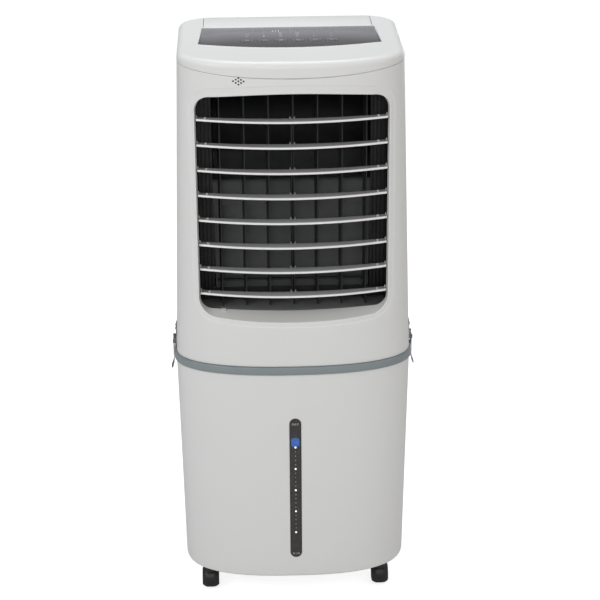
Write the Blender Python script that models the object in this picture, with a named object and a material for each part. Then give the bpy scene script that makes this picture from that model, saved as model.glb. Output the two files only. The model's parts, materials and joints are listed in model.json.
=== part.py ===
"""Portable tower evaporative cooler on casters.

A tapered water tank carries an upper housing with a centrifugal blower, a wetted pad and a louvred outlet.
Two side clips hold the housing on the tank's seal band.

Metres, +Z up, origin on the floor under the middle of the overall width and depth. The outlet faces -Y.
The pieces are modelled round the body's own axis, and one empty carries them all to that origin.
"""

import math

import bmesh
import bpy
from mathutils import Matrix, Vector

# ---------------------------------------------------------------- driving dimensions
TOP_Z = 1.123  # upper face of the top cover
TANK_BOTTOM_Z = 0.063
BAND_Z = (0.5087, 0.5245)  # lower and upper edge of the seal band
BAND_PROUD = 0.004
FRONT_Y = -0.172
BACK_Y = 0.180
HOOK_BACK_Y = 0.202
SEAM_Y = -0.030  # vertical seam between the front panel and the rear housing
HALF_WIDTH = {"base": 0.2208, "waist": 0.2277, "top": 0.2103}
TOP_WIDTH_Z = 1.098  # height at which the top half width is measured
NOSE_DEPTH = {"base": 0.1286, "waist": 0.0997}  # front face to the widest point
ROUNDNESS = {"base": 2.62, "waist": 2.37}  # exponent of the bowed front
REAR_CORNER = 0.045
WALL = 0.003
GAP = 0.0003  # between pieces that rest on each other

LOUVRE_COUNT = 8
LOUVRE_PITCH = 0.04904
LOUVRE_TOP_Z = 1.0065
LOUVRE_HALF = 0.1767
LOUVRE_FRONT_Y = -0.1586
LOUVRE_SAG = 0.02815  # how far the front edge falls back at the ends
LOUVRE_CHORD = 0.028
LOUVRE_AXIS_Y = -0.1135
LOUVRE_LINK_Y = -0.1250

VANE_COUNT = 7
VANE_PITCH = 0.0458
VANE_AXIS_Y = -0.078
VANE_ARM = 0.016
VANE_REST = math.radians(8)
VANE_LINK_Z = 0.664

FRAME_Y = (-0.1220, -0.0560)
FRAME_HALF = 0.1800
FRAME_Z = (0.6220, 1.0645)
FRAME_WALL = 0.0045

BLOWER_AXIS = (0.040, 0.722)  # y, z
WHEEL_RADIUS = 0.080
INLET_RADIUS = 0.062
MOUTH_Z = (0.8640, 1.0600)
WHEEL_HALF = 0.118
BLOWER_HALF = 0.150
MOTOR_X = (0.0900, 0.1600)

GRILLE_HALF = 0.1722
GRILLE_Z = (0.5928, 1.0472)

LID_HALF = 0.1620
LID_FRONT_Y = 0.0907
LID_AXIS = (0.1680, 1.1208)  # y, z
LID_BARREL = 0.0022

PANEL_TOP_Z = TOP_Z + 0.0005
KEY_COUNT = 6
KEY_PITCH = 0.0317
KEY_SIZE = (0.024, 0.020)
KEY_Y = -0.0130

HOSE_RISER = (0.186, 0.118)  # x, y
CORD_X = -0.150
CORD_Z = 0.560
DRAIN_Z = 0.098

WINDOW_Z = (0.1078, 0.4153)
WINDOW_HALF = 0.0114
FLOAT_Z = 0.3569

CLIP_Y = -0.050
CLIP_AXIS = (0.2322, 0.5370)  # x, z

CASTER_X = 0.173
CASTER_STEM_Y = {"front": -0.102, "rear": 0.110}
CASTER_TRAIL = 0.012
WHEEL_R = 0.020
CASTER_WHEEL_X = (0.006, 0.017)  # inner and outer face of each wheel


# ---------------------------------------------------------------- scene and materials
def clear_scene():
    for obj in list(bpy.data.objects):
        bpy.data.objects.remove(obj)


def make_material(name, colour, roughness, metallic=0.0):
    material = bpy.data.materials.new(name)
    material.use_nodes = True
    shader = material.node_tree.nodes["Principled BSDF"]
    shader.inputs["Base Color"].default_value = (*colour, 1.0)
    shader.inputs["Roughness"].default_value = roughness
    shader.inputs["Metallic"].default_value = metallic
    material.diffuse_color = (*colour, 1.0)
    return material


clear_scene()
WHITE = make_material("white_gloss_plastic", (0.80, 0.81, 0.81), 0.25)
GREY_BAND = make_material("grey_blue_plastic", (0.30, 0.36, 0.39), 0.45)
BLACK = make_material("black_plastic", (0.015, 0.016, 0.017), 0.5)
SMOKED = make_material("smoked_panel", (0.10, 0.095, 0.10), 0.12)
SILVER = make_material("silver_plastic", (0.42, 0.43, 0.43), 0.35)
DARK_DUCT = make_material("dark_duct_plastic", (0.05, 0.055, 0.055), 0.45)
BLUE_FLOAT = make_material("blue_float", (0.03, 0.18, 0.75), 0.35)
RUBBER = make_material("black_rubber", (0.02, 0.02, 0.02), 0.8)
STEEL = make_material("steel", (0.45, 0.46, 0.47), 0.3, 1.0)
CELLULOSE = make_material("pad_cellulose", (0.30, 0.22, 0.12), 0.9)
HOSE = make_material("clear_hose", (0.55, 0.58, 0.58), 0.4)
BOARD = make_material("circuit_board", (0.02, 0.16, 0.07), 0.5)


# ---------------------------------------------------------------- modelling helpers
def finish_object(name, bm, material, origin=(0.0, 0.0, 0.0), rotation=(0.0, 0.0, 0.0)):
    """Turns a bmesh into a named object. The bmesh is in the object's own axes, centred on its origin."""
    bmesh.ops.recalc_face_normals(bm, faces=bm.faces)
    mesh = bpy.data.meshes.new(name)
    bm.to_mesh(mesh)
    bm.free()
    mesh.materials.append(material)
    obj = bpy.data.objects.new(name, mesh)
    obj.location = origin
    obj.rotation_euler = rotation
    bpy.context.scene.collection.objects.link(obj)
    return obj


def loft(name, rings, material=BLACK, closed=False, **place):
    """Solid through rings of equal point count, capped at both ends unless closed."""
    bm = bmesh.new()
    rows = [[bm.verts.new(point) for point in ring] for ring in rings]
    pairs = list(zip(rows, rows[1:]))
    if closed:
        pairs.append((rows[-1], rows[0]))
    else:
        bm.faces.new(reversed(rows[0]))
        bm.faces.new(rows[-1])
    count = len(rows[0])
    for low, high in pairs:
        for i in range(count):
            j = (i + 1) % count
            bm.faces.new((low[i], low[j], high[j], high[i]))
    quads = [face for face in bm.faces if len(face.verts) == 4]
    bmesh.ops.connect_verts_nonplanar(bm, angle_limit=math.radians(0.1), faces=quads)
    return finish_object(name, bm, material, **place)


def prism(name, outline, axis, low, high, material=BLACK, **place):
    """Extrudes a flat outline along axis. Its pairs of numbers are the other two axes in X, Y, Z order."""

    def point(a, b, c):
        return {"x": (c, a, b), "y": (a, c, b), "z": (a, b, c)}[axis]

    rings = [[point(a, b, c) for a, b in outline] for c in (low, high)]
    return loft(name, rings, material, **place)


def box(name, x, y, z, material=BLACK, **place):
    corners = ((x[0], y[0]), (x[1], y[0]), (x[1], y[1]), (x[0], y[1]))
    return prism(name, corners, "z", z[0], z[1], material, **place)


def circle(radius, count, centre=(0.0, 0.0), phase=0.5):
    """A polygon with its corners on the circle. Phase 0.5 gives a flat bottom if four divides count."""
    angles = [2 * math.pi * (i + phase) / count for i in range(count)]
    return [(centre[0] + radius * math.cos(a), centre[1] + radius * math.sin(a)) for a in angles]


def cylinder(name, radius, axis, low, high, centre=(0.0, 0.0), count=12, phase=0.5, material=BLACK, **place):
    return prism(name, circle(radius, count, centre, phase), axis, low, high, material, **place)


def arc(centre, radius, start, end, steps):
    """Points on an arc, angles in degrees."""
    angles = [math.radians(start + (end - start) * i / steps) for i in range(steps + 1)]
    return [(centre[0] + radius * math.cos(a), centre[1] + radius * math.sin(a)) for a in angles]


def rounded_rectangle(half_x, half_y, radius, steps=3, centre=(0.0, 0.0)):
    points = []
    for sx, sy, start in ((1, 1, 0), (-1, 1, 90), (-1, -1, 180), (1, -1, 270)):
        corner = (centre[0] + sx * (half_x - radius), centre[1] + sy * (half_y - radius))
        points += arc(corner, radius, start, start + 90, steps)
    return points


def combine(target, others, operation):
    """Applies a Boolean of every other object to the target, and removes those objects."""
    for other in others:
        modifier = target.modifiers.new(operation, "BOOLEAN")
        modifier.operation = operation
        modifier.solver = "EXACT"
        modifier.object = other
    graph = bpy.context.evaluated_depsgraph_get()
    mesh = bpy.data.meshes.new_from_object(target.evaluated_get(graph))
    target.modifiers.clear()
    target.data = mesh
    for other in others:
        bpy.data.objects.remove(other)
    return target


def cut(target, *cutters):
    return combine(target, cutters, "DIFFERENCE")


def join(target, *others):
    return combine(target, others, "UNION")


def copy_of(obj, name, origin):
    """Another object with the same mesh, its origin moved."""
    twin = bpy.data.objects.new(name, obj.data)
    twin.location = origin
    twin.rotation_euler = obj.rotation_euler
    bpy.context.scene.collection.objects.link(twin)
    return twin


def smooth(obj, angle=35):
    obj.data.shade_smooth()
    obj.data.set_sharp_from_angle(angle=math.radians(angle))


# ---------------------------------------------------------------- body outline
FRONT_STEPS = 20
CORNER_STEPS = 4


def blend_share(z):
    """0 at the tank's bottom, 1 at the waist and above."""
    return min(1.0, max(0.0, (z - TANK_BOTTOM_Z) / (BAND_Z[0] - TANK_BOTTOM_Z)))


def half_width(z):
    if z <= BAND_Z[0]:
        return HALF_WIDTH["base"] + (HALF_WIDTH["waist"] - HALF_WIDTH["base"]) * blend_share(z)
    share = (z - BAND_Z[0]) / (TOP_WIDTH_Z - BAND_Z[0])
    return HALF_WIDTH["waist"] + (HALF_WIDTH["top"] - HALF_WIDTH["waist"]) * share


def front_curve(z, inset):
    """The bowed front from the right side's widest point to the left's, as (x, y)."""
    share = blend_share(z)
    depth = NOSE_DEPTH["base"] + (NOSE_DEPTH["waist"] - NOSE_DEPTH["base"]) * share
    power = ROUNDNESS["base"] + (ROUNDNESS["waist"] - ROUNDNESS["base"]) * share
    widest_y = FRONT_Y + depth
    a, b = half_width(z) - inset, depth - inset
    points = []
    for i in range(FRONT_STEPS + 1):
        t = math.pi * i / FRONT_STEPS
        c, s = math.cos(t), math.sin(t)
        x = math.copysign(a * abs(c) ** (2 / power), c)
        points.append((x, widest_y - b * abs(s) ** (2 / power)))
    return points


def rear_curve(z, inset):
    """From the left side round the back to the right side, without the sides' front ends."""
    a = half_width(z) - inset
    radius = REAR_CORNER - inset
    corner_x, corner_y = a - radius, BACK_Y - inset - radius
    left = arc((-corner_x, corner_y), radius, 180, 90, CORNER_STEPS)
    right = arc((corner_x, corner_y), radius, 90, 0, CORNER_STEPS)
    return left + right


def body_ring(z, inset=0.0, height=None):
    """A closed ring round the body. Height, if given, is a function of x and y that takes the place of z."""
    ring = []
    for x, y in front_curve(z, inset) + rear_curve(z, inset):
        ring.append((x, y, z if height is None else height(x, y)))
    return ring


def parting_z(x, y):
    """The seam under the top cover: it dips at the middle of the front."""
    level, dip = 1.1060, 0.0125
    widest_y = FRONT_Y + NOSE_DEPTH["waist"]
    if y > widest_y:
        return level
    return level - dip * (1 - min(1.0, (x / HALF_WIDTH["top"]) ** 2))


# ---------------------------------------------------------------- tank and band
def make_water_tank():
    z0, z1, wall, edge = TANK_BOTTOM_Z, BAND_Z[0] - GAP, 0.0035, 0.0055
    rings = [body_ring(z0, edge)]
    rings.append([(x, y, z0 + 0.3 * edge) for x, y, _ in body_ring(z0, 0.3 * edge)])
    rings.append([(x, y, z0 + edge) for x, y, _ in body_ring(z0, 0.0)])
    rings.append(body_ring(z1, 0.0))
    rings.append(body_ring(z1, wall))
    rings.append([(x, y, z0 + edge) for x, y, _ in body_ring(z0, wall)])
    rings.append([(x, y, z0 + wall) for x, y, _ in body_ring(z0, edge)])
    tank = loft("water_tank", rings, WHITE)
    bosses, bores = [], []
    for side in (-1, 1):
        for y in CASTER_STEM_Y.values():
            centre = (side * CASTER_X, y)
            bosses.append(cylinder("boss", 0.0085, "z", z0 + 0.002, z0 + 0.030, centre))
            bores.append(cylinder("bore", 0.0045, "z", z0 - 0.010, z0 + 0.024, centre))
    join(tank, *bosses)
    middle = sum(WINDOW_Z) / 2
    slot_half = (WINDOW_Z[1] - WINDOW_Z[0]) / 2 + GAP
    slot_width = WINDOW_HALF + GAP
    slot_outline = rounded_rectangle(slot_width, slot_half, slot_width - 1e-5, 4, (0.0, middle))
    slot = prism("slot", slot_outline, "y", FRONT_Y - 0.01, FRONT_Y + 0.012)
    drain = cylinder("drain", 0.0105, "y", BACK_Y - 0.01, BACK_Y + 0.01, (0.0, DRAIN_Z))
    cut(tank, slot, drain, *bores)
    smooth(tank)


def make_waist_band():
    """Seal and trim ring between the tank's rim and the upper housing."""
    low, high = BAND_Z
    outer = [(-0.0025, low), (-BAND_PROUD, low + 0.002), (-BAND_PROUD, high - 0.002), (-0.0025, high)]
    section = outer + [(0.0035, high), (0.0035, low)]
    rings = [body_ring((low + high) / 2, inset) for inset, _ in section]
    loops = []
    for station in zip(*rings):
        loops.append([(x, y, z) for (x, y, _), (_, z) in zip(station, section)])
    smooth(loft("waist_band", loops, GREY_BAND, closed=True))


def make_level_window():
    """Smoked strip in the tank's front, with two rails behind it that guide the float."""
    middle = sum(WINDOW_Z) / 2
    half = (WINDOW_Z[1] - WINDOW_Z[0]) / 2
    strip_outline = rounded_rectangle(WINDOW_HALF, half, WINDOW_HALF - 1e-5, 4, (0.0, middle))
    window = prism("level_window", strip_outline, "y", FRONT_Y - 0.0005, FRONT_Y + 0.0030, SMOKED)
    rails = []
    rail_z = (WINDOW_Z[0] + 0.012, WINDOW_Z[1] - 0.012)
    for side in (-1, 1):
        x = sorted((side * 0.0090, side * 0.0108))
        rails.append(box("rail", x, (FRONT_Y + 0.002, FRONT_Y + 0.022), rail_z))
    join(window, *rails)


def make_level_float():
    origin = (0.0, FRONT_Y + 0.0125, FLOAT_Z)
    cylinder("level_float", 0.0078, "z", -0.007, 0.007, count=12, material=BLUE_FLOAT, origin=origin)


def make_drain_plug():
    origin = (0.0, BACK_Y, DRAIN_Z)
    plug = cylinder("drain_plug", 0.0098, "y", -0.0085, 0.003, material=RUBBER, origin=origin)
    head = cylinder("head", 0.0140, "y", GAP, 0.0050, origin=origin)
    tab = box("tab", (-0.002, 0.002), (0.002, 0.012), (-0.008, 0.008), origin=origin)
    join(plug, head, tab)


# ---------------------------------------------------------------- upper housing
def outlet_outline(grow=0.0, lift=0.0, narrow=0.0):
    """The air outlet seen from the front, as (x, z): arched at the top, nearly level at the bottom.

    grow moves the whole edge outwards. lift raises the bottom and tightens its corners.
    narrow brings in the top and sides.
    """
    half = 0.1795 + grow - narrow
    top_radius, bottom_radius = 0.030 + grow, 0.036 + grow - 2 * lift
    top_x, bottom_x = half - top_radius, half - bottom_radius

    def top(x):
        return 1.0643 - 0.0098 * (x / 0.1525) ** 2 + grow - narrow

    def bottom(x):
        return 0.6165 + 0.0075 * (x / 0.150) ** 2 - grow + lift

    upper = [(top_x * (1 - i / 4), top(top_x * (1 - i / 4))) for i in range(1, 8)]
    lower = [(-bottom_x * (1 - i / 3), bottom(bottom_x * (1 - i / 3))) for i in range(1, 6)]
    right_top = arc((top_x, top(top_x) - top_radius), top_radius, 0, 83, 5)
    left_top = arc((-top_x, top(top_x) - top_radius), top_radius, 97, 180, 5)
    left_bottom = arc((-bottom_x, bottom(bottom_x) + bottom_radius), bottom_radius, 180, 266, 5)
    right_bottom = arc((bottom_x, bottom(bottom_x) + bottom_radius), bottom_radius, 274, 360, 5)
    return right_top + upper + left_top + left_bottom + lower + right_bottom


def outlet_loft(name, grow, y_front, y_back, lift=0.0, narrow=0.0):
    """A tube along Y through the outlet's outline, drafted by lift and narrow at its inner end."""
    front = [(x, y_front, z) for x, z in outlet_outline(grow)]
    back = [(x, y_back, z) for x, z in outlet_outline(grow, lift, narrow)]
    return loft(name, [front, back])


def housing_wall(name, stations):
    """A wall round part of the body. Stations are pairs of (x, y) for the top and bottom of each face."""
    loops = []
    for outer_top, outer_low, inner_top, inner_low in stations:
        z_top = parting_z(*outer_top) - GAP
        z_low = BAND_Z[1] + GAP
        loops.append([(*outer_low, z_low), (*outer_top, z_top), (*inner_top, z_top), (*inner_low, z_low)])
    return loft(name, loops, WHITE)


def wall_stations(curve, first_y, last_y):
    """Stations along a curve function, with a straight run added at each end to the given y."""
    z_top, z_low = parting_z(1.0, 0.0), BAND_Z[1]
    curves = [curve(z, inset) for inset in (0.0, WALL) for z in (z_top, z_low)]
    ends = []
    for points in curves:
        first, last = (points[0][0], first_y), (points[-1][0], last_y)
        ends.append([first] + points + [last])
    return list(zip(*ends))


def make_front_panel():
    panel = housing_wall("front_panel", wall_stations(front_curve, SEAM_Y - GAP, SEAM_Y - GAP))
    flange = outlet_loft("flange", 0.0028, FRONT_Y + 0.0005, FRAME_Y[0] - GAP, 0.005, 0.002)
    inside = loft("inside", [body_ring(z, 0.001) for z in (0.560, 1.090)])
    combine(flange, [inside], "INTERSECT")
    join(panel, flange)
    opening = outlet_loft("opening", 0.0002, FRONT_Y - 0.012, -0.112, 0.0055, 0.0025)
    cut(panel, opening, *speaker_holes())
    smooth(panel)


def speaker_holes():
    """Nine holes in a diamond, in front of the buzzer."""
    centre_x, centre_z, step_x, step_z = -0.0976, 1.0879, 0.00525, 0.0033
    places = [(0, 0), (0, 2), (0, -2), (2, 0), (-2, 0), (1, 1), (1, -1), (-1, 1), (-1, -1)]
    holes = []
    for i, j in places:
        centre = (centre_x + i * step_x, centre_z + j * step_z * 0.97)
        holes.append(cylinder("hole", 0.0011, "y", FRONT_Y - 0.005, FRONT_Y + 0.030, centre, 6))
    return holes


def make_rear_housing():
    """Sides and back of the upper unit, with the floor that carries the blower."""
    housing = housing_wall("rear_housing", wall_stations(rear_curve, SEAM_Y, SEAM_Y))
    floor_z = (0.5280, 0.5315)
    front_part = [(x, y) for x, y, _ in body_ring(0.53, WALL + 0.0006)]
    floor = prism("floor", front_part, "z", *floor_z)
    side_x = half_width(0.53) - 0.0015
    ties = [box("tie", sorted((s * 0.18, s * side_x)), (-0.028, 0.120), floor_z) for s in (-1, 1)]
    back_tie = box("tie", (-0.17, 0.17), (0.160, BACK_Y - 0.0015), floor_z)
    join(housing, floor, *ties, back_tie)
    hole_z = (GRILLE_Z[0] - GAP, GRILLE_Z[1] + GAP)
    back_opening = box("opening", (-GRILLE_HALF - GAP, GRILLE_HALF + GAP), (0.170, 0.190), hole_z)
    drip_slot = box("drip", (-0.155, 0.155), (0.138, 0.166), (0.520, 0.540))
    hose_hole = cylinder("hose_hole", 0.0090, "z", 0.520, 0.540, HOSE_RISER)
    cord_hole = cylinder("cord_hole", 0.0042, "y", 0.170, 0.190, (CORD_X, CORD_Z))
    cut(housing, back_opening, drip_slot, hose_hole, cord_hole)
    hooks = []
    for x in (-0.060, 0.060):
        arm = box("arm", (x - 0.010, x + 0.010), (BACK_Y - 0.002, HOOK_BACK_Y), (0.553, 0.557))
        lip = box("lip", (x - 0.010, x + 0.010), (HOOK_BACK_Y - 0.003, HOOK_BACK_Y), (0.555, 0.566))
        hooks += [arm, lip]
    join(housing, *hooks)
    smooth(housing)


def make_top_cover():
    edge = 0.012
    rings = [[(x, y, TOP_Z) for x, y, _ in body_ring(TOP_WIDTH_Z, edge)]]
    for angle in (60, 30, 0):
        a = math.radians(angle)
        inset = edge * (1 - math.cos(a))
        z = TOP_Z - edge + edge * math.sin(a)
        rings.append([(x, y, z) for x, y, _ in body_ring(TOP_WIDTH_Z, inset)])
    rings.append(body_ring(parting_z(1.0, 0.0), 0.0, parting_z))
    inner_low = body_ring(parting_z(1.0, 0.0), WALL)
    outer_low = rings[-1]
    rings.append([(x, y, z) for (x, y, _), (_, _, z) in zip(inner_low, outer_low)])
    rings.append([(x, y, TOP_Z - edge) for x, y, _ in body_ring(TOP_WIDTH_Z, WALL)])
    rings.append([(x, y, TOP_Z - WALL) for x, y, _ in body_ring(TOP_WIDTH_Z, edge)])
    cover = loft("top_cover", rings, WHITE)
    seat = prism("seat", panel_outline(0.003), "z", TOP_Z - 0.009, TOP_Z - 0.001)
    ears = []
    for side in (-1, 1):
        x = sorted((side * (LID_HALF + GAP), side * (LID_HALF + 0.007)))
        ears.append(box("ear", x, (0.1630, 0.1740), (LID_AXIS[1] - 0.006, TOP_Z - 0.0005)))
    join(cover, seat, *ears)
    pocket = prism("pocket", panel_outline(GAP), "z", PANEL_TOP_Z - 0.0045 - GAP, TOP_Z + 0.01)
    window = prism("window", panel_outline(-0.006), "z", TOP_Z - 0.02, TOP_Z + 0.01)
    lid_x, lid_back = LID_HALF + GAP, LID_AXIS[0] + LID_BARREL + 0.0004
    lid_y = (LID_FRONT_Y - GAP, lid_back)
    lid_opening = box("lid_opening", (-lid_x, lid_x), lid_y, (TOP_Z - 0.02, TOP_Z + 0.01))
    pin_hole = cylinder("pin_hole", 0.0013, "x", -LID_HALF - 0.0045, LID_HALF + 0.0045, LID_AXIS, 8)
    cut(cover, pocket, window, lid_opening, pin_hole)
    smooth(cover)


def panel_outline(grow):
    """The control panel from above, as (x, y): straight at the back, bowed at the front."""
    back_y, corner_y, bow = 0.0865 + grow, -0.0335, 0.0315
    back_x, front_x = 0.1650 + grow, 0.1705 + grow
    steps = 10
    front = []
    for i in range(steps + 1):
        share = 2 * i / steps - 1
        front.append((front_x * share, corner_y - bow * (1 - share * share) - grow))
    return front + [(back_x, back_y), (-back_x, back_y)]


def key_place(index):
    return (index - (KEY_COUNT - 1) / 2) * KEY_PITCH


def make_control_panel():
    panel = prism("control_panel", panel_outline(0.0), "z", PANEL_TOP_Z - 0.0045, PANEL_TOP_Z, SMOKED)
    holes = []
    half_x, half_y = KEY_SIZE[0] / 2 + GAP, KEY_SIZE[1] / 2 + GAP
    for i in range(KEY_COUNT):
        outline = rounded_rectangle(half_x, half_y, 0.006, 3, (key_place(i), KEY_Y))
        holes.append(prism("hole", outline, "z", PANEL_TOP_Z - 0.02, PANEL_TOP_Z + 0.01))
    cut(panel, *holes)


def make_keys():
    outline = rounded_rectangle(KEY_SIZE[0] / 2, KEY_SIZE[1] / 2, 0.006, 3)
    first = prism("key_1", outline, "z", -0.0035, 0.0005, SMOKED, origin=(key_place(0), KEY_Y, PANEL_TOP_Z))
    stem = cylinder("stem", 0.002, "z", -0.0135, -0.003, count=8, origin=(key_place(0), KEY_Y, PANEL_TOP_Z))
    join(first, stem)
    for i in range(1, KEY_COUNT):
        copy_of(first, f"key_{i + 1}", (key_place(i), KEY_Y, PANEL_TOP_Z))


def make_control_board():
    box("control_board", (-0.100, 0.100), (-0.028, 0.054), (1.1060, 1.1076), BOARD)


def make_top_lid():
    """Flap over the fill hopper. A barrel with a stub pin at each end lies on the hinge line."""
    y, z = LID_AXIS
    origin = (0.0, y, z)
    plate = ((-LID_HALF, LID_HALF), (LID_FRONT_Y - y, 0.0), (TOP_Z - WALL - z, TOP_Z - z))
    lid = box("top_lid", *plate, WHITE, origin=origin)
    barrel = cylinder("barrel", LID_BARREL, "x", -LID_HALF, LID_HALF, count=12, origin=origin)
    pin = cylinder("pin", 0.0010, "x", -LID_HALF - 0.004, LID_HALF + 0.004, count=8, origin=origin)
    rim_x, rim_y = (-LID_HALF + 0.006, LID_HALF - 0.006), (LID_FRONT_Y + 0.003 - y, LID_FRONT_Y + 0.005 - y)
    rim = box("rim", rim_x, rim_y, (TOP_Z - 0.007 - z, TOP_Z - 0.002 - z), origin=origin)
    join(lid, barrel, pin, rim)


def make_fill_hopper():
    """Basin under the lid for water and ice, draining into the distributor."""
    hopper = box("fill_hopper", (-0.150, 0.150), (0.0955, 0.1640), (1.0700, 1.1150), WHITE)
    inside = box("inside", (-0.148, 0.148), (0.0975, 0.1620), (1.0720, 1.1200))
    outlet = cylinder("outlet", 0.005, "z", 1.060, 1.080, (0.0, 0.152))
    cut(hopper, inside, outlet)


# ---------------------------------------------------------------- outlet: frame, louvres, vanes
def louvre_z(index):
    return LOUVRE_TOP_Z - index * LOUVRE_PITCH


def vane_x(index):
    return (index - (VANE_COUNT - 1) / 2) * VANE_PITCH


def make_outlet_frame():
    """Square duct that carries the blades' pins, with a back wall round the blower's mouth."""
    outer_x, (z0, z1) = FRAME_HALF + FRAME_WALL, FRAME_Z
    frame = box("outlet_frame", (-outer_x, outer_x), FRAME_Y, (z0 - FRAME_WALL, z1 + FRAME_WALL), BLACK)
    inside = box("inside", (-FRAME_HALF, FRAME_HALF), (-0.2, FRAME_Y[1] - 0.0015), FRAME_Z)
    mouth = box("mouth", (-BLOWER_HALF, BLOWER_HALF), (-0.2, 0.0), (0.6450, MOUTH_Z[1]))
    bores = [inside, mouth]
    for k in range(LOUVRE_COUNT):
        bores.append(cylinder("bore", 0.0023, "x", -0.2, 0.2, (LOUVRE_AXIS_Y, louvre_z(k)), 6))
    for k in range(VANE_COUNT):
        bores.append(cylinder("bore", 0.0023, "z", 0.60, 1.10, (vane_x(k), VANE_AXIS_Y), 6))
    cut(frame, *bores)


def louvre_section(x):
    """The blade's section at x, as (y, z) from the pivot: a rounded nose and a thin tail."""
    share = (x / LOUVRE_HALF) ** 2
    nose = LOUVRE_FRONT_Y + LOUVRE_SAG * share - LOUVRE_AXIS_Y
    tail = LOUVRE_FRONT_Y + LOUVRE_CHORD + 0.0195 * share - LOUVRE_AXIS_Y
    upper = [(nose, 0.0010), (nose + 0.0012, 0.0022), (nose + 0.0060, 0.0012), (tail, 0.0008)]
    return upper + [(y, -z) for y, z in reversed(upper)]


def make_louvres():
    stations = 8
    loops = []
    for i in range(stations + 1):
        x = LOUVRE_HALF * (2 * i / stations - 1)
        loops.append([(x, y, z) for y, z in louvre_section(x)])
    place = {"origin": (0.0, LOUVRE_AXIS_Y, louvre_z(0))}
    blade = loft("louvre_1", loops, SILVER, **place)
    extras = []
    link = LOUVRE_LINK_Y - LOUVRE_AXIS_Y
    for side in (-1, 1):
        ear = sorted((side * (LOUVRE_HALF - 0.002), side * (LOUVRE_HALF + 0.0003)))
        pin = sorted((side * (LOUVRE_HALF - 0.001), side * 0.1835))
        extras.append(cylinder("ear", 0.0040, "x", *ear, count=6, phase=0.0, **place))
        extras.append(cylinder("pin", 0.0018, "x", *pin, count=6, **place))
        lug = sorted((side * 0.0036, side * 0.0052))
        extras.append(box("lug", lug, (link - 0.009, link + 0.0025), (-0.0024, 0.0024), **place))
    extras.append(cylinder("link_pin", 0.0011, "x", -0.0045, 0.0045, (link, 0.0), 8, **place))
    join(blade, *extras)
    smooth(blade)
    for k in range(1, LOUVRE_COUNT):
        copy_of(blade, f"louvre_{k + 1}", (0.0, LOUVRE_AXIS_Y, louvre_z(k)))


def make_louvre_link_rod():
    origin = (0.0, LOUVRE_LINK_Y, louvre_z(0))
    low = louvre_z(LOUVRE_COUNT - 1) - louvre_z(0) - 0.004
    rod = box("louvre_link_rod", (-0.003, 0.003), (-0.0028, 0.0028), (low, 0.004), BLACK, origin=origin)
    holes = []
    for k in range(LOUVRE_COUNT):
        place = (0.0, louvre_z(k) - louvre_z(0))
        holes.append(cylinder("hole", 0.0015, "x", -0.01, 0.01, place, 8, origin=origin))
    cut(rod, *holes)


def make_vane(index, pin_drop):
    """A vertical blade that turns on pins, with a notch and a stub behind it for the link bar."""
    z0, z1 = FRAME_Z[0] + 0.0015, FRAME_Z[1] - 0.0015
    notch = (VANE_LINK_Z - 0.008, VANE_LINK_Z + 0.006)
    front, back, notch_y = -0.020, 0.014, 0.009
    outline = [
        (front, z0),
        (back, z0),
        (back, notch[0]),
        (notch_y, notch[0]),
        (notch_y, notch[1]),
        (back, notch[1]),
        (back, z1),
        (front, z1),
    ]
    place = {"origin": (vane_x(index), VANE_AXIS_Y, 0.0), "rotation": (0.0, 0.0, VANE_REST)}
    vane = prism(f"vane_{index + 1}", outline, "x", -0.0008, 0.0008, BLACK, **place)
    upper_pin = cylinder("pin", 0.0017, "z", z1 - 0.002, z1 + 0.0055, count=8, **place)
    lower_pin = cylinder("pin", 0.0017, "z", z0 - pin_drop, z0 + 0.002, count=8, **place)
    tab_z = (VANE_LINK_Z - 0.005, VANE_LINK_Z - 0.002)
    tab = box("tab", (-0.002, 0.002), (notch_y - 0.002, VANE_ARM + 0.0022), tab_z, **place)
    stub_z = (VANE_LINK_Z - 0.003, VANE_LINK_Z + 0.003)
    stub = cylinder("stub", 0.0012, "z", *stub_z, (0.0, VANE_ARM), 8, **place)
    return join(vane, upper_pin, lower_pin, tab, stub)


def make_vanes():
    middle = VANE_COUNT // 2
    side_vane = make_vane(0, 0.0055)
    for k in range(1, VANE_COUNT):
        if k != middle:
            copy_of(side_vane, f"vane_{k + 1}", (vane_x(k), VANE_AXIS_Y, 0.0))
    make_vane(middle, 0.0130)


def make_vane_link_bar():
    origin = (-VANE_ARM * math.sin(VANE_REST), VANE_AXIS_Y + VANE_ARM * math.cos(VANE_REST), VANE_LINK_Z)
    reach = vane_x(VANE_COUNT - 1) + 0.004
    bar = box("vane_link_bar", (-reach, reach), (-0.003, 0.003), (-0.0015, 0.0015), BLACK, origin=origin)
    holes = []
    for k in range(VANE_COUNT):
        holes.append(cylinder("hole", 0.0015, "z", -0.01, 0.01, (vane_x(k), 0.0), 8, origin=origin))
    cut(bar, *holes)


def make_swing_motor():
    """Geared stepper under the frame. The middle vane's lower pin sits in its hub."""
    top = FRAME_Z[0] - FRAME_WALL - GAP
    motor = cylinder("swing_motor", 0.0140, "z", top - 0.019, top, (0.0, VANE_AXIS_Y), 16, material=STEEL)
    ears = box("ears", (-0.0205, 0.0205), (VANE_AXIS_Y - 0.0035, VANE_AXIS_Y + 0.0035), (top - 0.0012, top))
    join(motor, ears)
    cut(motor, cylinder("hub", 0.0021, "z", top - 0.010, top + 0.01, (0.0, VANE_AXIS_Y), 8))


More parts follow.
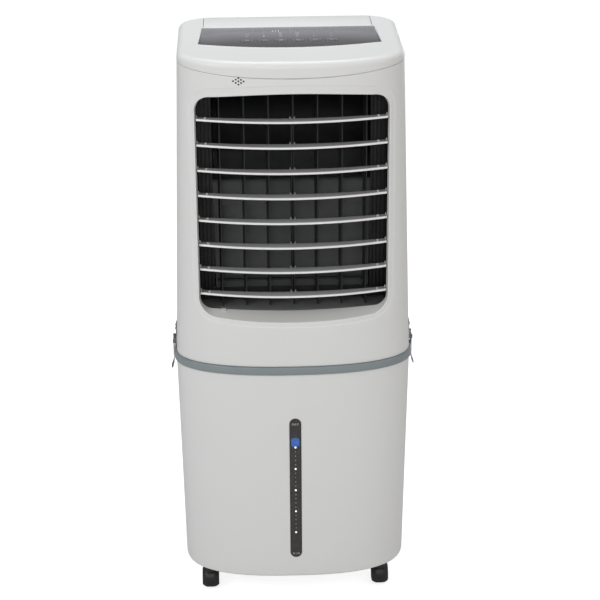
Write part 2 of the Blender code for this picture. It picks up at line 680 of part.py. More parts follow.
# ---------------------------------------------------------------- blower
def volute_outline(grow):
    """The air space of the scroll, as (y, z). grow moves its walls outwards."""
    cy, cz = BLOWER_AXIS
    start, end, r_start, r_end = 168, 360, 0.0870, 0.0925
    points = []
    steps = 13
    for i in range(steps + 1):
        angle = math.radians(start + (end - start) * i / steps)
        radius = r_start + (r_end - r_start) * i / steps + grow
        points.append((cy + radius * math.cos(angle), cz + radius * math.sin(angle)))
    rear_y, roof_z, outlet_y = cy + r_end + grow, MOUTH_Z[1] + grow, FRAME_Y[1] + GAP
    bend = 0.130 + grow
    points += arc((rear_y - bend, roof_z - bend), bend, 0, 90, 6)
    points += [(outlet_y, roof_z), (outlet_y, MOUTH_Z[0] - grow)]
    return points


def make_blower_housing():
    shell = 0.0025
    outer = BLOWER_HALF + shell
    housing = prism("blower_housing", volute_outline(shell), "x", -outer, outer, DARK_DUCT)
    air = prism("air", volute_outline(0.0), "x", -BLOWER_HALF, BLOWER_HALF)
    mouth = box("mouth", (-BLOWER_HALF, BLOWER_HALF), (FRAME_Y[1] - 0.01, FRAME_Y[1] + 0.004), MOUTH_Z)
    inlets = cylinder("inlets", INLET_RADIUS, "x", -0.2, 0.2, BLOWER_AXIS, 28)
    cut(housing, air, mouth, inlets)
    feet = []
    for side in (-1, 1):
        x = sorted((side * 0.090, side * 0.110))
        feet.append(box("foot", x, (0.025, 0.060), (0.5315 + GAP, BLOWER_AXIS[1] - 0.0900)))
    tongue_outline = [(-0.0520, 0.8650), (-0.0540, 0.8630), (-0.0060, 0.8090), (-0.0040, 0.8110)]
    tongue = prism("tongue", tongue_outline, "x", -BLOWER_HALF - 0.001, BLOWER_HALF + 0.001)
    join(housing, *feet, tongue)
    smooth(housing)


def make_blower_wheel():
    """Double-inlet drum with forward-curved blades, a centre disc, a hub and the shaft stub."""
    inner, tip = 0.0640, WHEEL_RADIUS - 0.001
    blades, count = [], 14
    blade_x = (-WHEEL_HALF + 0.002, WHEEL_HALF - 0.002)
    outline = [(inner, -0.004), (tip, 0.004), (tip, 0.0055), (inner, -0.0025)]
    for k in range(count):
        turn = Matrix.Rotation(2 * math.pi * k / count, 2)
        points = [tuple(turn @ Vector(point)) for point in outline]
        blades.append(points)
    bm = bmesh.new()
    for points in blades:
        rows = [[bm.verts.new((x, a, b)) for a, b in points] for x in blade_x]
        bm.faces.new(reversed(rows[0]))
        bm.faces.new(rows[1])
        for i in range(4):
            j = (i + 1) % 4
            bm.faces.new((rows[0][i], rows[0][j], rows[1][j], rows[1][i]))
    place = {"origin": (0.0, *BLOWER_AXIS)}
    all_blades = finish_object("blades", bm, BLACK, **place)
    wheel = cylinder("blower_wheel", WHEEL_RADIUS, "x", -0.0015, 0.0015, count=32, material=BLACK, **place)
    rings = []
    for side in (-1, 1):
        x = sorted((side * (WHEEL_HALF - 0.006), side * WHEEL_HALF))
        ring = cylinder("ring", WHEEL_RADIUS, "x", *x, count=32, **place)
        cut(ring, cylinder("eye", inner, "x", -0.2, 0.2, count=32, **place))
        rings.append(ring)
    hub = cylinder("hub", 0.012, "x", -0.012, 0.012, count=16, **place)
    shaft = cylinder("shaft", 0.004, "x", 0.010, 0.112, count=12, **place)
    join(wheel, all_blades, *rings, hub, shaft)
    smooth(wheel)


def make_blower_motor():
    """Motor in the right inlet, carried by three arms screwed to the scroll's side."""
    place = {"origin": (0.0, *BLOWER_AXIS)}
    motor = cylinder("blower_motor", 0.0380, "x", MOTOR_X[0], MOTOR_X[1], count=20, material=STEEL, **place)
    arms = []
    face = BLOWER_HALF + 0.0025 + GAP
    for angle in (90, 210, 330):
        turn = Matrix.Rotation(math.radians(angle), 2)
        corners = [(0.030, -0.008), (0.080, -0.008), (0.080, 0.008), (0.030, 0.008)]
        outline = [tuple(turn @ Vector(point)) for point in corners]
        arms.append(prism("arm", outline, "x", face, face + 0.004, **place))
    join(motor, *arms)
    cut(motor, cylinder("bore", 0.0044, "x", 0.0, MOTOR_X[0] + 0.025, count=12, **place))
    smooth(motor)


# ---------------------------------------------------------------- water side
def make_cooling_pad():
    box("cooling_pad", (-0.164, 0.164), (0.1400, 0.1640), (0.6000, 1.0330), CELLULOSE)


def make_rear_grille():
    """Slotted cover with a rim, holding the air filter in front of the pad."""
    z0, z1 = GRILLE_Z
    grille = box("rear_grille", (-GRILLE_HALF, GRILLE_HALF), (0.1670, BACK_Y), GRILLE_Z, WHITE)
    inside_x = GRILLE_HALF - 0.004
    recess = box("recess", (-inside_x, inside_x), (0.16, BACK_Y - 0.004), (z0 + 0.004, z1 - 0.004))
    cutters = [recess]
    rows, slot, margin = 15, 0.0175, 0.014
    pitch = (z1 - z0 - 2 * margin - slot) / (rows - 1)
    for column in (-1, 1):
        x = sorted((column * 0.007, column * (GRILLE_HALF - margin)))
        for row in range(rows):
            low = z0 + margin + row * pitch
            cutters.append(box("slot", x, (BACK_Y - 0.01, BACK_Y + 0.01), (low, low + slot)))
    cut(grille, *cutters)


def make_water_distributor():
    """Trough over the pad, with drip holes in its floor."""
    trough = box("water_distributor", (-0.164, 0.164), (0.1400, 0.1640), (1.0345, 1.0580), WHITE)
    cutters = [box("inside", (-0.162, 0.162), (0.1420, 0.1620), (1.0365, 1.0700))]
    cutters.append(cylinder("inlet", 0.0060, "x", 0.155, 0.170, (0.152, 1.0470)))
    for k in range(9):
        cutters.append(cylinder("drip", 0.0015, "z", 1.02, 1.04, ((k - 4) * 0.036, 0.152), 6))
    cut(trough, *cutters)


def make_water_pump():
    """Submersible pump standing on the tank's floor."""
    outline = rounded_rectangle(0.028, 0.025, 0.008, 3, (0.100, 0.095))
    floor_z = TANK_BOTTOM_Z + 0.0035 + GAP
    pump = prism("water_pump", outline, "z", floor_z, floor_z + 0.052, BLACK)
    nipple = cylinder("nipple", 0.0045, "z", floor_z + 0.05, 0.1480, (0.100, 0.095), 12)
    join(pump, nipple)
    smooth(pump)


def tube(name, points, radius, material):
    """A round cord or hose along smooth bends through the points."""
    curve = bpy.data.curves.new(name, "CURVE")
    curve.dimensions = "3D"
    curve.resolution_u = 4
    curve.bevel_depth = radius
    curve.bevel_resolution = 1
    curve.use_fill_caps = True
    spline = curve.splines.new("BEZIER")
    spline.bezier_points.add(len(points) - 1)
    for knot, point in zip(spline.bezier_points, points):
        knot.co = point
        knot.handle_left_type = knot.handle_right_type = "AUTO"
    obj = bpy.data.objects.new(name, curve)
    bpy.context.scene.collection.objects.link(obj)
    graph = bpy.context.evaluated_depsgraph_get()
    mesh = bpy.data.meshes.new_from_object(obj.evaluated_get(graph))
    bpy.data.objects.remove(obj)
    bm = bmesh.new()
    bm.from_mesh(mesh)
    bmesh.ops.remove_doubles(bm, verts=bm.verts, dist=1e-6)
    made = finish_object(name, bm, material)
    smooth(made, 60)
    return made


def make_pump_hose():
    x, y = HOSE_RISER
    path = [(0.100, 0.095, 0.1490), (0.104, 0.096, 0.240), (0.165, 0.112, 0.400), (x, y, 0.500)]
    path += [(x, y, 0.980), (x, 0.132, 1.036), (0.1660, 0.1520, 1.0470)]
    tube("pump_hose", path, 0.0050, HOSE)


def make_power_cord():
    """Mains cord from the back wall, looped over a hook, with a moulded plug."""
    y = BACK_Y + 0.014
    path = [(CORD_X, 0.168, CORD_Z), (CORD_X, y - 0.004, 0.558), (CORD_X, y, 0.500)]
    path += [(-0.125, y, 0.380), (-0.085, y, 0.380), (-0.080, y, 0.520), (-0.0765, y, 0.5555)]
    path += [(-0.060, y, 0.5625), (-0.0435, y, 0.5555), (-0.040, y, 0.470)]
    cord = tube("power_cord", path, 0.0032, RUBBER)
    plug = box("plug", (-0.050, -0.030), (y - 0.010, y + 0.006), (0.432, 0.474))
    pins = [cylinder("pin", 0.0020, "z", 0.414, 0.436, (x, y - 0.002), 8) for x in (-0.0465, -0.0335)]
    join(cord, plug, *pins)


# ---------------------------------------------------------------- side clips
def make_side_clip(side, label):
    """Bracket and pin on the housing, and a spring clip whose nose catches under the band."""
    axis_x, axis_z = CLIP_AXIS
    place = {"origin": (0.0, CLIP_Y, 0.0)}

    def x_range(a, b):
        return sorted((side * a, side * b))

    wall_x = half_width(0.527) + GAP
    plate = (x_range(wall_x, wall_x + 0.0014), (-0.015, 0.015), (0.5270, 0.5690))
    bracket = box(f"clip_bracket_{label}", *plate, STEEL, **place)
    ears = []
    ear_x, ear_z = x_range(wall_x + 0.001, axis_x + 0.0032), (axis_z - 0.0045, axis_z + 0.0045)
    for y in ((-0.0150, -0.0125), (0.0125, 0.0150)):
        ears.append(box("ear", ear_x, y, ear_z, **place))
    join(bracket, *ears)
    cut(bracket, cylinder("bore", 0.0016, "y", -0.02, 0.02, (side * axis_x, axis_z), 8, **place))
    pin_place = {"origin": (side * axis_x, CLIP_Y, axis_z)}
    cylinder(f"clip_pin_{label}", 0.0013, "y", -0.0156, 0.0156, count=8, material=STEEL, **pin_place)

    outline = [
        (0.0006, 0.0000),
        (0.0020, 0.0000),
        (0.0020, -0.0360),
        (0.0036, -0.0520),
        (0.0062, -0.0580),
        (0.0050, -0.0590),
        (0.0022, -0.0530),
        (0.0006, -0.0365),
        (0.0006, -0.0330),
        (-0.0030, -0.0326),
        (-0.0030, -0.0303),
        (0.0006, -0.0296),
    ]
    outline = [(side * x, z) for x, z in outline]
    clip = prism(f"side_clip_{label}", outline, "y", -0.0115, 0.0115, STEEL, **pin_place)
    join(clip, cylinder("barrel", 0.0028, "y", -0.0115, 0.0115, count=12, **pin_place))
    cut(clip, cylinder("bore", 0.0016, "y", -0.02, 0.02, count=8, **pin_place))


# ---------------------------------------------------------------- casters
def make_caster_hood(name, origin):
    """Swivel body: stem, web between the wheels and fender over them. Origin on the stem, at floor level."""
    place = {"origin": origin}
    axle = (CASTER_TRAIL, WHEEL_R)
    outer, inner, half = 0.0240, 0.0215, CASTER_WHEEL_X[1]
    fender_outline = arc(axle, outer, -5, 215, 9) + arc(axle, inner, 215, -5, 9)
    hood = prism(name, fender_outline, "x", -half, half, BLACK, **place)
    web_outline = arc(axle, outer - 0.001, 10, 200, 6) + arc(axle, 0.0070, 200, 370, 4)
    web = prism("web", web_outline, "x", -0.0045, 0.0045, **place)
    collar = cylinder("collar", 0.0080, "z", WHEEL_R + 0.0190, TANK_BOTTOM_Z - GAP, count=8, **place)
    stem = cylinder("stem", 0.0040, "z", WHEEL_R + 0.0190, TANK_BOTTOM_Z + 0.022, count=8, **place)
    join(hood, web, collar, stem)
    cut(hood, cylinder("axle_bore", 0.0034, "x", -0.02, 0.02, axle, 12, **place))
    # The collar stands over the wheels' inner edges, so it is trimmed to the wheels' clearance circle.
    for side in (-1, 1):
        x = sorted((side * (CASTER_WHEEL_X[0] - 0.0012), side * (CASTER_WHEEL_X[1] + 0.001)))
        cut(hood, cylinder("clearance", inner, "x", *x, axle, 18, **place))
    smooth(hood)
    return hood


def make_caster_wheels(name, origin):
    """Two wheels on one axle. Origin on the axle."""
    inner_x, outer_x = CASTER_WHEEL_X
    profile = [(inner_x, WHEEL_R), (outer_x - 0.003, WHEEL_R), (outer_x, 0.0150)]
    loops = []
    count = 16
    to_corner = 1 / math.cos(math.pi / count)  # from the middle of a flat to a corner
    for side in (-1, 1):
        rings = []
        for x, radius in profile:
            rings.append([(side * x, a, b) for a, b in circle(radius * to_corner, count)])
        loops.append(rings)
    left = loft(name, loops[0], RUBBER, origin=origin)
    right = loft("right", loops[1], origin=origin)
    axle = cylinder("axle", 0.0031, "x", -inner_x - 0.001, inner_x + 0.001, count=12, origin=origin)
    join(left, right, axle)
    smooth(left)
    return left


def make_casters():
    first_hood = first_wheels = None
    for end, y in CASTER_STEM_Y.items():
        for side, label in ((-1, "left"), (1, "right")):
            stem = (side * CASTER_X, y, 0.0)
            axle = (side * CASTER_X, y + CASTER_TRAIL, WHEEL_R)
            if first_hood is None:
                first_hood = make_caster_hood(f"caster_hood_{end}_{label}", stem)
                first_wheels = make_caster_wheels(f"caster_wheels_{end}_{label}", axle)
            else:
                copy_of(first_hood, f"caster_hood_{end}_{label}", stem)
                copy_of(first_wheels, f"caster_wheels_{end}_{label}", axle)


def centre_over_origin():
    """Carries every piece on one empty, so that the middle of the overall depth is over the origin."""
    carrier = bpy.data.objects.new("carrier", None)
    carrier.location = (0.0, -(FRONT_Y - BAND_PROUD + HOOK_BACK_Y) / 2, 0.0)
    pieces = [obj for obj in bpy.data.objects if obj.type == "MESH"]
    bpy.context.scene.collection.objects.link(carrier)
    for piece in pieces:
        piece.parent = carrier


# ---------------------------------------------------------------- build
make_water_tank()
make_waist_band()
make_level_window()
make_level_float()
make_drain_plug()
make_front_panel()
make_rear_housing()
make_top_cover()
make_control_panel()
make_keys()
make_control_board()
make_top_lid()
make_fill_hopper()
make_outlet_frame()
make_louvres()
make_louvre_link_rod()
make_vanes()
make_vane_link_bar()
make_swing_motor()
make_blower_housing()
make_blower_wheel()
make_blower_motor()
make_cooling_pad()
make_rear_grille()
make_water_distributor()
make_water_pump()
make_pump_hose()
make_power_cord()
make_side_clip(-1, "left")
make_side_clip(1, "right")
make_casters()
centre_over_origin()
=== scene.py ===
"""Looks of a portable tower evaporative cooler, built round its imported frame.

Every piece is made in the frame's own coordinates: metres, +Z up, outlet towards -Y, floor at z = 0.
"""

import json
import math

import bmesh
import bpy
import numpy as np
from mathutils import Matrix, Vector


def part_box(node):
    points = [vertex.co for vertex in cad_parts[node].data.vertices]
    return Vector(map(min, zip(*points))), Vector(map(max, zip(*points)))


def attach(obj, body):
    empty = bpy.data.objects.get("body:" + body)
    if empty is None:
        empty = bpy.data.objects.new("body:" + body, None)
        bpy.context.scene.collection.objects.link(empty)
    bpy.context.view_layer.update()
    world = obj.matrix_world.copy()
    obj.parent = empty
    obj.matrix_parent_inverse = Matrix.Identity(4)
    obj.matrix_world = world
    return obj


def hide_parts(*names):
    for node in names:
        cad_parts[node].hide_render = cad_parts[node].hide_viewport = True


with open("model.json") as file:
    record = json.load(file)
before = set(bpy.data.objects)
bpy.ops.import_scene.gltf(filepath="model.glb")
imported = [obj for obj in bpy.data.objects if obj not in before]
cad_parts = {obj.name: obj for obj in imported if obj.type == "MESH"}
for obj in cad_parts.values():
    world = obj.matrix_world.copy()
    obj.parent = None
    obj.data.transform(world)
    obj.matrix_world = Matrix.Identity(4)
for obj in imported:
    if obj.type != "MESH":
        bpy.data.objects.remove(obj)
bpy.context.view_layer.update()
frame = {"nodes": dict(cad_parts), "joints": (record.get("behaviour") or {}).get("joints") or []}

# ---------------------------------------------------------------- sizes taken from the frame
# Shapes are worked out round the body's own axis, whose front face is at FRONT_Y. SHIFT takes them to the frame.
ROOT = "cabinet"
FRONT_Y = -0.172
SHIFT = Vector((0.0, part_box("water_tank")[0].y - FRONT_Y, 0.0))


def node_box(node):
    low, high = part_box(node)
    return low - SHIFT, high - SHIFT


TOP_Z = node_box("top_cover")[1].z
TANK_BOTTOM_Z = node_box("water_tank")[0].z
BAND_Z = (node_box("waist_band")[0].z, node_box("waist_band")[1].z)
BACK_Y = node_box("water_tank")[1].y
SEAM_Y = node_box("front_panel")[1].y
FRAME_FRONT_Y = node_box("outlet_frame")[0].y
PANEL_TOP_Z = node_box("control_panel")[1].z
WINDOW_Z = (node_box("level_window")[0].z, node_box("level_window")[1].z)
WINDOW_HALF = node_box("level_window")[1].x

# ---------------------------------------------------------------- sizes of the body's outline
HALF_WIDTH = {"base": 0.2208, "waist": 0.2277, "top": 0.2103}
TOP_WIDTH_Z = 1.098
NOSE_DEPTH = {"base": 0.1286, "waist": 0.0997}
ROUNDNESS = {"base": 2.62, "waist": 2.37}
REAR_CORNER = 0.045
SEAM_GAP = 0.0006
EDGE = 0.0010  # rounding along the seams
LID_HALF = node_box("top_lid")[1].x - 0.004
LID_FRONT_Y = node_box("top_lid")[0].y
LID_AXIS = (0.1680, 1.1208)


def joint_place(name):
    for joint in frame["joints"]:
        if joint["name"] == name:
            return Vector(joint["pos_m"]) - SHIFT
    raise KeyError(name)


# ---------------------------------------------------------------- procedural materials
class Finish:
    """A Principled material with small helpers for procedural detail in the piece's own coordinates."""

    def __init__(self, name, colour, roughness, metallic=0.0, coat=0.0):
        self.material = bpy.data.materials.new(name)
        self.material.use_nodes = True
        self.tree = self.material.node_tree
        self.shader = self.tree.nodes["Principled BSDF"]
        self.colour = (*colour, 1.0)
        self.shader.inputs["Base Color"].default_value = self.colour
        self.shader.inputs["Roughness"].default_value = roughness
        self.shader.inputs["Metallic"].default_value = metallic
        self.shader.inputs["Coat Weight"].default_value = coat
        self.shader.inputs["Coat Roughness"].default_value = 0.08
        self.place = self.add("ShaderNodeTexCoord").outputs["Object"]
        self.heights = []
        self.material.diffuse_color = self.colour

    def add(self, kind, **values):
        node = self.tree.nodes.new(kind)
        for key, value in values.items():
            setattr(node, key, value)
        return node

    def link(self, source, target):
        self.tree.links.new(source, target)

    def stretch(self, scale):
        node = self.add("ShaderNodeMapping")
        node.inputs["Scale"].default_value = scale
        self.link(self.place, node.inputs["Vector"])
        return node.outputs["Vector"]

    def noise(self, scale, detail=3.0, place=None):
        node = self.add("ShaderNodeTexNoise")
        node.inputs["Scale"].default_value = scale
        node.inputs["Detail"].default_value = detail
        self.link(place or self.place, node.inputs["Vector"])
        return node.outputs["Fac"]

    def cells(self, scale, feature="F1", place=None):
        node = self.add("ShaderNodeTexVoronoi", feature=feature)
        node.inputs["Scale"].default_value = scale
        self.link(place or self.place, node.inputs["Vector"])
        return node.outputs["Distance"]

    def axis(self, index):
        node = self.add("ShaderNodeSeparateXYZ")
        self.link(self.place, node.inputs[0])
        return node.outputs[index]

    def spread(self, source, low, high, to_low=0.0, to_high=1.0, smooth=False):
        node = self.add("ShaderNodeMapRange", interpolation_type="SMOOTHSTEP" if smooth else "LINEAR")
        for key, value in zip(("From Min", "From Max", "To Min", "To Max"), (low, high, to_low, to_high)):
            node.inputs[key].default_value = value
        self.link(source, node.inputs["Value"])
        return node.outputs["Result"]

    def sine(self, source, pitch, low=0.0, high=1.0):
        """A ripple along a coordinate with the given pitch in metres."""
        node = self.add("ShaderNodeMath", operation="SINE")
        scaled = self.add("ShaderNodeMath", operation="MULTIPLY")
        scaled.inputs[1].default_value = 2 * math.pi / pitch
        self.link(source, scaled.inputs[0])
        self.link(scaled.outputs[0], node.inputs[0])
        return self.spread(node.outputs[0], -1, 1, low, high)

    def tint(self, factor, colour):
        """Mixes the base colour towards another by factor."""
        node = self.add("ShaderNodeMix", data_type="RGBA")
        source = self.shader.inputs["Base Color"]
        if source.is_linked:
            self.link(source.links[0].from_socket, node.inputs[6])
        else:
            node.inputs[6].default_value = source.default_value
        node.inputs[7].default_value = (*colour, 1.0)
        self.link(factor, node.inputs[0])
        self.link(node.outputs[2], source)
        return self

    def rough(self, factor, low, high):
        self.link(self.spread(factor, 0.3, 0.7, low, high), self.shader.inputs["Roughness"])
        return self

    def bump(self, height, distance, strength=1.0):
        """Adds a height in metres. Several bumps are chained."""
        node = self.add("ShaderNodeBump")
        node.inputs["Strength"].default_value = strength
        node.inputs["Distance"].default_value = distance
        self.link(height, node.inputs["Height"])
        target = self.shader.inputs["Normal"]
        if target.is_linked:
            self.link(target.links[0].from_socket, node.inputs["Normal"])
        self.link(node.outputs["Normal"], target)
        return self


def gloss_white(name, colour=(0.700, 0.698, 0.688), rough=0.24):
    """Polished injection-moulded ABS: faint orange peel, tiny dust, and slow drift in shade."""
    made = Finish(name, colour, rough)
    made.shader.inputs["Specular IOR Level"].default_value = 0.5
    made.shader.inputs["Subsurface Weight"].default_value = 0.04
    made.shader.inputs["Subsurface Radius"].default_value = (0.004, 0.004, 0.003)
    slow = made.noise(5.0, 2.0)
    made.tint(made.spread(slow, 0.30, 0.75, 0.0, 0.35), tuple(c * 0.97 for c in colour))
    made.tint(made.spread(made.noise(55.0, 5.0), 0.35, 0.75, 0.0, 0.25), tuple(c * 0.985 for c in colour))
    made.rough(made.noise(11.0, 3.0), rough - 0.02, rough + 0.03)
    made.bump(made.noise(150.0, 1.0), 0.00004, 0.12)
    return made.material


def satin_plastic(name, colour, rough=0.45, grain=1300.0, depth=0.00006):
    """Spark-eroded moulded plastic with a fine leather-like grain and rubbed patches."""
    made = Finish(name, colour, rough)
    made.tint(made.spread(made.noise(9.0, 4.0), 0.35, 0.75, 0.0, 0.35), tuple(min(1.0, c * 1.35 + 0.001) for c in colour))
    made.rough(made.noise(60.0, 4.0), rough - 0.07, rough + 0.10)
    made.bump(made.cells(grain), depth, 0.5)
    made.bump(made.noise(grain * 0.4, 3.0), depth, 0.4)
    return made.material


def smoked_gloss(name, colour, painted_reflection_colour=None):
    """Dark glossy acrylic that lightens from front to rear as a painted reflection, with faint wipe marks."""
    made = Finish(name, colour, 0.13, coat=0.25)
    if painted_reflection_colour:
        # Painted reflection: the colour lightens towards the rear of the plate.
        made.tint(made.spread(made.axis(1), -0.060, 0.085, 0.0, 1.0, smooth=True), painted_reflection_colour)
    streaks = made.noise(14.0, 5.0, made.stretch((1.0, 7.0, 1.0)))
    made.rough(streaks, 0.10, 0.20)
    made.tint(made.spread(made.cells(1300.0), 0.03, 0.07, 0.10, 0.0), (0.25, 0.25, 0.26))
    made.bump(made.noise(420.0, 2.0), 0.00002, 0.25)
    return made.material


def louvre_paint(name):
    """Silver-grey lacquer with painted shade: darker towards the rear of the blade, paler at the rounded front edge."""
    made = Finish(name, (0.430, 0.428, 0.420), 0.34)
    # Painted shade: the blade darkens towards its rear, inside the outlet.
    made.tint(made.spread(made.axis(1), -0.0420, -0.0240, 0.0, 0.60, smooth=True), (0.250, 0.250, 0.246))
    flakes = made.cells(2600.0)
    made.tint(made.spread(flakes, 0.0, 0.5, 0.18, 0.0), (0.60, 0.60, 0.60))
    made.rough(made.noise(70.0, 4.0), 0.30, 0.44)
    made.bump(made.noise(900.0, 2.0), 0.00003, 0.3)
    return made.material


def scroll_plastic(name):
    """Dark grey below; above, in the throat, painted shade turns it black."""
    made = Finish(name, (0.058, 0.062, 0.061), 0.40)
    # Painted shade: black above z 0.866, in the throat.
    made.tint(made.spread(made.axis(2), 0.858, 0.866), (0.004, 0.0042, 0.0044))
    made.rough(made.noise(40.0, 4.0), 0.34, 0.50)
    made.bump(made.noise(600.0, 2.0), 0.00004, 0.4)
    return made.material


def sprung_steel(name, colour=(0.52, 0.53, 0.54)):
    """Bright zinc-plated spring steel with rolling lines along Z and dull spots."""
    made = Finish(name, colour, 0.28, metallic=1.0)
    lines = made.noise(900.0, 3.0, made.stretch((1.0, 1.0, 0.04)))
    made.rough(lines, 0.22, 0.40)
    made.tint(made.spread(made.noise(120.0, 4.0), 0.5, 0.8, 0.0, 0.5), tuple(c * 0.6 for c in colour))
    made.bump(lines, 0.00002, 0.4)
    return made.material


def band_plastic(name):
    """Grey-blue seal band: satin, with short slanted grip ribs near the front corners."""
    made = Finish(name, (0.212, 0.245, 0.254), 0.38)
    made.tint(made.spread(made.noise(22.0, 4.0), 0.35, 0.75, 0.0, 0.4), (0.245, 0.280, 0.290))
    made.rough(made.noise(80.0, 4.0), 0.32, 0.48)
    x, z = made.axis(0), made.axis(2)
    slant = made.add("ShaderNodeMath", operation="ADD")
    made.link(x, slant.inputs[0])
    made.link(z, slant.inputs[1])
    ribs = made.sine(slant.outputs[0], 0.0042)
    reach = made.add("ShaderNodeMath", operation="ABSOLUTE")
    made.link(x, reach.inputs[0])
    near_corner = made.spread(reach.outputs[0], 0.150, 0.175, 0.0, 1.0, smooth=True)
    height = made.add("ShaderNodeMath", operation="MULTIPLY")
    made.link(ribs, height.inputs[0])
    made.link(near_corner, height.inputs[1])
    made.bump(height.outputs[0], 0.0003, 0.6)
    made.bump(made.noise(1500.0, 2.0), 0.00003, 0.3)
    return made.material


def smoked_window(name):
    """Tinted clear plastic: mostly dark gloss, partly see-through so the float shows."""
    made = Finish(name, (0.058, 0.050, 0.047), 0.12, coat=0.5)
    made.rough(made.noise(50.0, 4.0), 0.09, 0.18)
    made.tint(made.spread(made.noise(25.0, 3.0), 0.4, 0.7, 0.0, 0.5), (0.084, 0.072, 0.067))
    clear = made.add("ShaderNodeBsdfTransparent")
    clear.inputs["Color"].default_value = (0.75, 0.75, 0.80, 1.0)
    mix = made.add("ShaderNodeMixShader")
    mix.inputs[0].default_value = 0.55
    made.link(clear.outputs[0], mix.inputs[1])
    made.link(made.shader.outputs[0], mix.inputs[2])
    made.link(mix.outputs[0], made.tree.nodes["Material Output"].inputs["Surface"])
    return made.material


def glowing(name, colour, strength):
    """Plastic that glows in patches: for lamps, and as painted glow on parts that are no lamps."""
    made = Finish(name, colour, 0.35)
    patchy = made.spread(made.noise(150.0, 3.0), 0.3, 0.7, 0.55 * strength, 1.2 * strength)
    made.shader.inputs["Emission Color"].default_value = (*colour, 1.0)
    made.link(patchy, made.shader.inputs["Emission Strength"])
    return made.material


def printed(name, colour, strength=0.0):
    """Silk-screened ink with slightly uneven cover, and a faint painted glow."""
    made = Finish(name, colour, 0.5)
    made.tint(made.spread(made.noise(1800.0, 2.0), 0.4, 0.7, 0.0, 0.5), tuple(c * 0.7 for c in colour))
    # The ink's emission is a faint painted glow.
    made.shader.inputs["Emission Color"].default_value = (*colour, 1.0)
    made.shader.inputs["Emission Strength"].default_value = strength
    return made.material


def pad_paper(name):
    """Resin-soaked kraft paper, darker where it stays wet."""
    made = Finish(name, (0.210, 0.130, 0.060), 0.85)
    made.tint(made.spread(made.noise(14.0, 5.0), 0.40, 0.65, 0.0, 0.8), (0.110, 0.063, 0.028))
    made.tint(made.spread(made.noise(420.0, 4.0), 0.45, 0.75, 0.0, 0.5), (0.330, 0.235, 0.130))
    made.bump(made.noise(700.0, 5.0), 0.0003, 0.6)
    return made.material


def hose_plastic(name):
    """Milky PVC hose with faint ribs."""
    made = Finish(name, (0.55, 0.58, 0.57), 0.30)
    made.shader.inputs["Transmission Weight"].default_value = 0.35
    made.tint(made.spread(made.noise(60.0, 3.0), 0.4, 0.7, 0.0, 0.5), (0.42, 0.46, 0.44))
    made.bump(made.sine(made.axis(2), 0.004), 0.0002, 0.4)
    return made.material


def circuit_board(name):
    """Green solder mask over thin copper tracks."""
    made = Finish(name, (0.012, 0.110, 0.040), 0.35)
    tracks = made.add("ShaderNodeTexBrick")
    tracks.inputs["Scale"].default_value = 90.0
    tracks.inputs["Mortar Size"].default_value = 0.06
    tracks.inputs["Color1"].default_value = (0, 0, 0, 1)
    tracks.inputs["Color2"].default_value = (0, 0, 0, 1)
    tracks.inputs["Mortar"].default_value = (1, 1, 1, 1)
    made.link(made.place, tracks.inputs["Vector"])
    made.tint(made.spread(tracks.outputs["Color"], 0, 1, 0.0, 0.6), (0.05, 0.25, 0.09))
    made.bump(tracks.outputs["Color"], 0.0001, 0.3)
    return made.material


WHITE = gloss_white("white_abs", rough=0.40)
WHITE_INNER = satin_plastic("white_inner", (0.52, 0.52, 0.51), 0.5)
BAND = band_plastic("band_plastic")
# The panel's lighter rear colour is a painted reflection.
PANEL = smoked_gloss("panel_acrylic", (0.004, 0.003, 0.007), (0.215, 0.212, 0.240))
WINDOW = smoked_window("window_acrylic")
CHANNEL = satin_plastic("window_channel", (0.020, 0.018, 0.018), 0.6)
# The float is blue plastic and no lamp: its glow is painted light.
FLOAT_BLUE_PAINTED_GLOW = glowing("float_blue_painted_glow", (0.03, 0.27, 0.95), 3.4)
# Glow for the panel and board lamps; on the printed level marks and the float's cap it is painted light.
LAMP_WHITE_AND_PAINTED_GLOW = glowing("lamp_and_painted_glow_white", (0.9, 0.9, 0.9), 0.9)
INK = printed("ink_pale", (0.46, 0.46, 0.48), 0.05)
INK_DIM = printed("ink_dim", (0.20, 0.19, 0.19), 0.02)
RED_LED = glowing("led_red", (0.60, 0.06, 0.05), 0.5)
LOUVRE = louvre_paint("louvre_lacquer")
LOUVRE_NOSE = gloss_white("louvre_nose_white", (0.80, 0.80, 0.79), 0.22)
PALE_BOSS = satin_plastic("pale_boss", (0.42, 0.42, 0.41), 0.4)
BLACK = satin_plastic("black_abs", (0.0045, 0.0050, 0.0055), 0.46)
# A lighter copy of the black plastic for bosses, rings, ribs and caps: painted highlight.
BLACK_HIGHLIGHT = satin_plastic("black_painted_highlight", (0.085, 0.088, 0.088), 0.35)
DUCT = satin_plastic("duct_grey", (0.058, 0.062, 0.061), 0.40, grain=600.0)
SCROLL = scroll_plastic("scroll_grey")
VANE_BLACK = satin_plastic("vane_black", (0.020, 0.021, 0.021), 0.50)
# A lighter copy of the duct grey for the up-facing plate: painted light.
SHELF_PAINTED_LIGHT = satin_plastic("shelf_painted_light", (0.160, 0.166, 0.165), 0.45)
# Lighter grey for the vanes' front bead: painted highlight.
VANE_EDGE_HIGHLIGHT = satin_plastic("vane_edge_painted_highlight", (0.105, 0.106, 0.104), 0.42)
CASTER_BLACK = satin_plastic("caster_nylon", (0.0050, 0.0050, 0.0056), 0.48)
TREAD = satin_plastic("caster_tread", (0.010, 0.010, 0.011), 0.66)
CORD = satin_plastic("cord_pvc", (0.016, 0.016, 0.017), 0.50)
RUBBER = satin_plastic("seal_rubber", (0.022, 0.022, 0.023), 0.75)
STEEL = sprung_steel("spring_steel")
DARK_STEEL = sprung_steel("dark_steel", (0.20, 0.205, 0.21))
BRASS = sprung_steel("plug_brass", (0.60, 0.46, 0.22))
PAPER = pad_paper("pad_paper")
HOSE = hose_plastic("clear_hose")
BOARD = circuit_board("circuit_board")


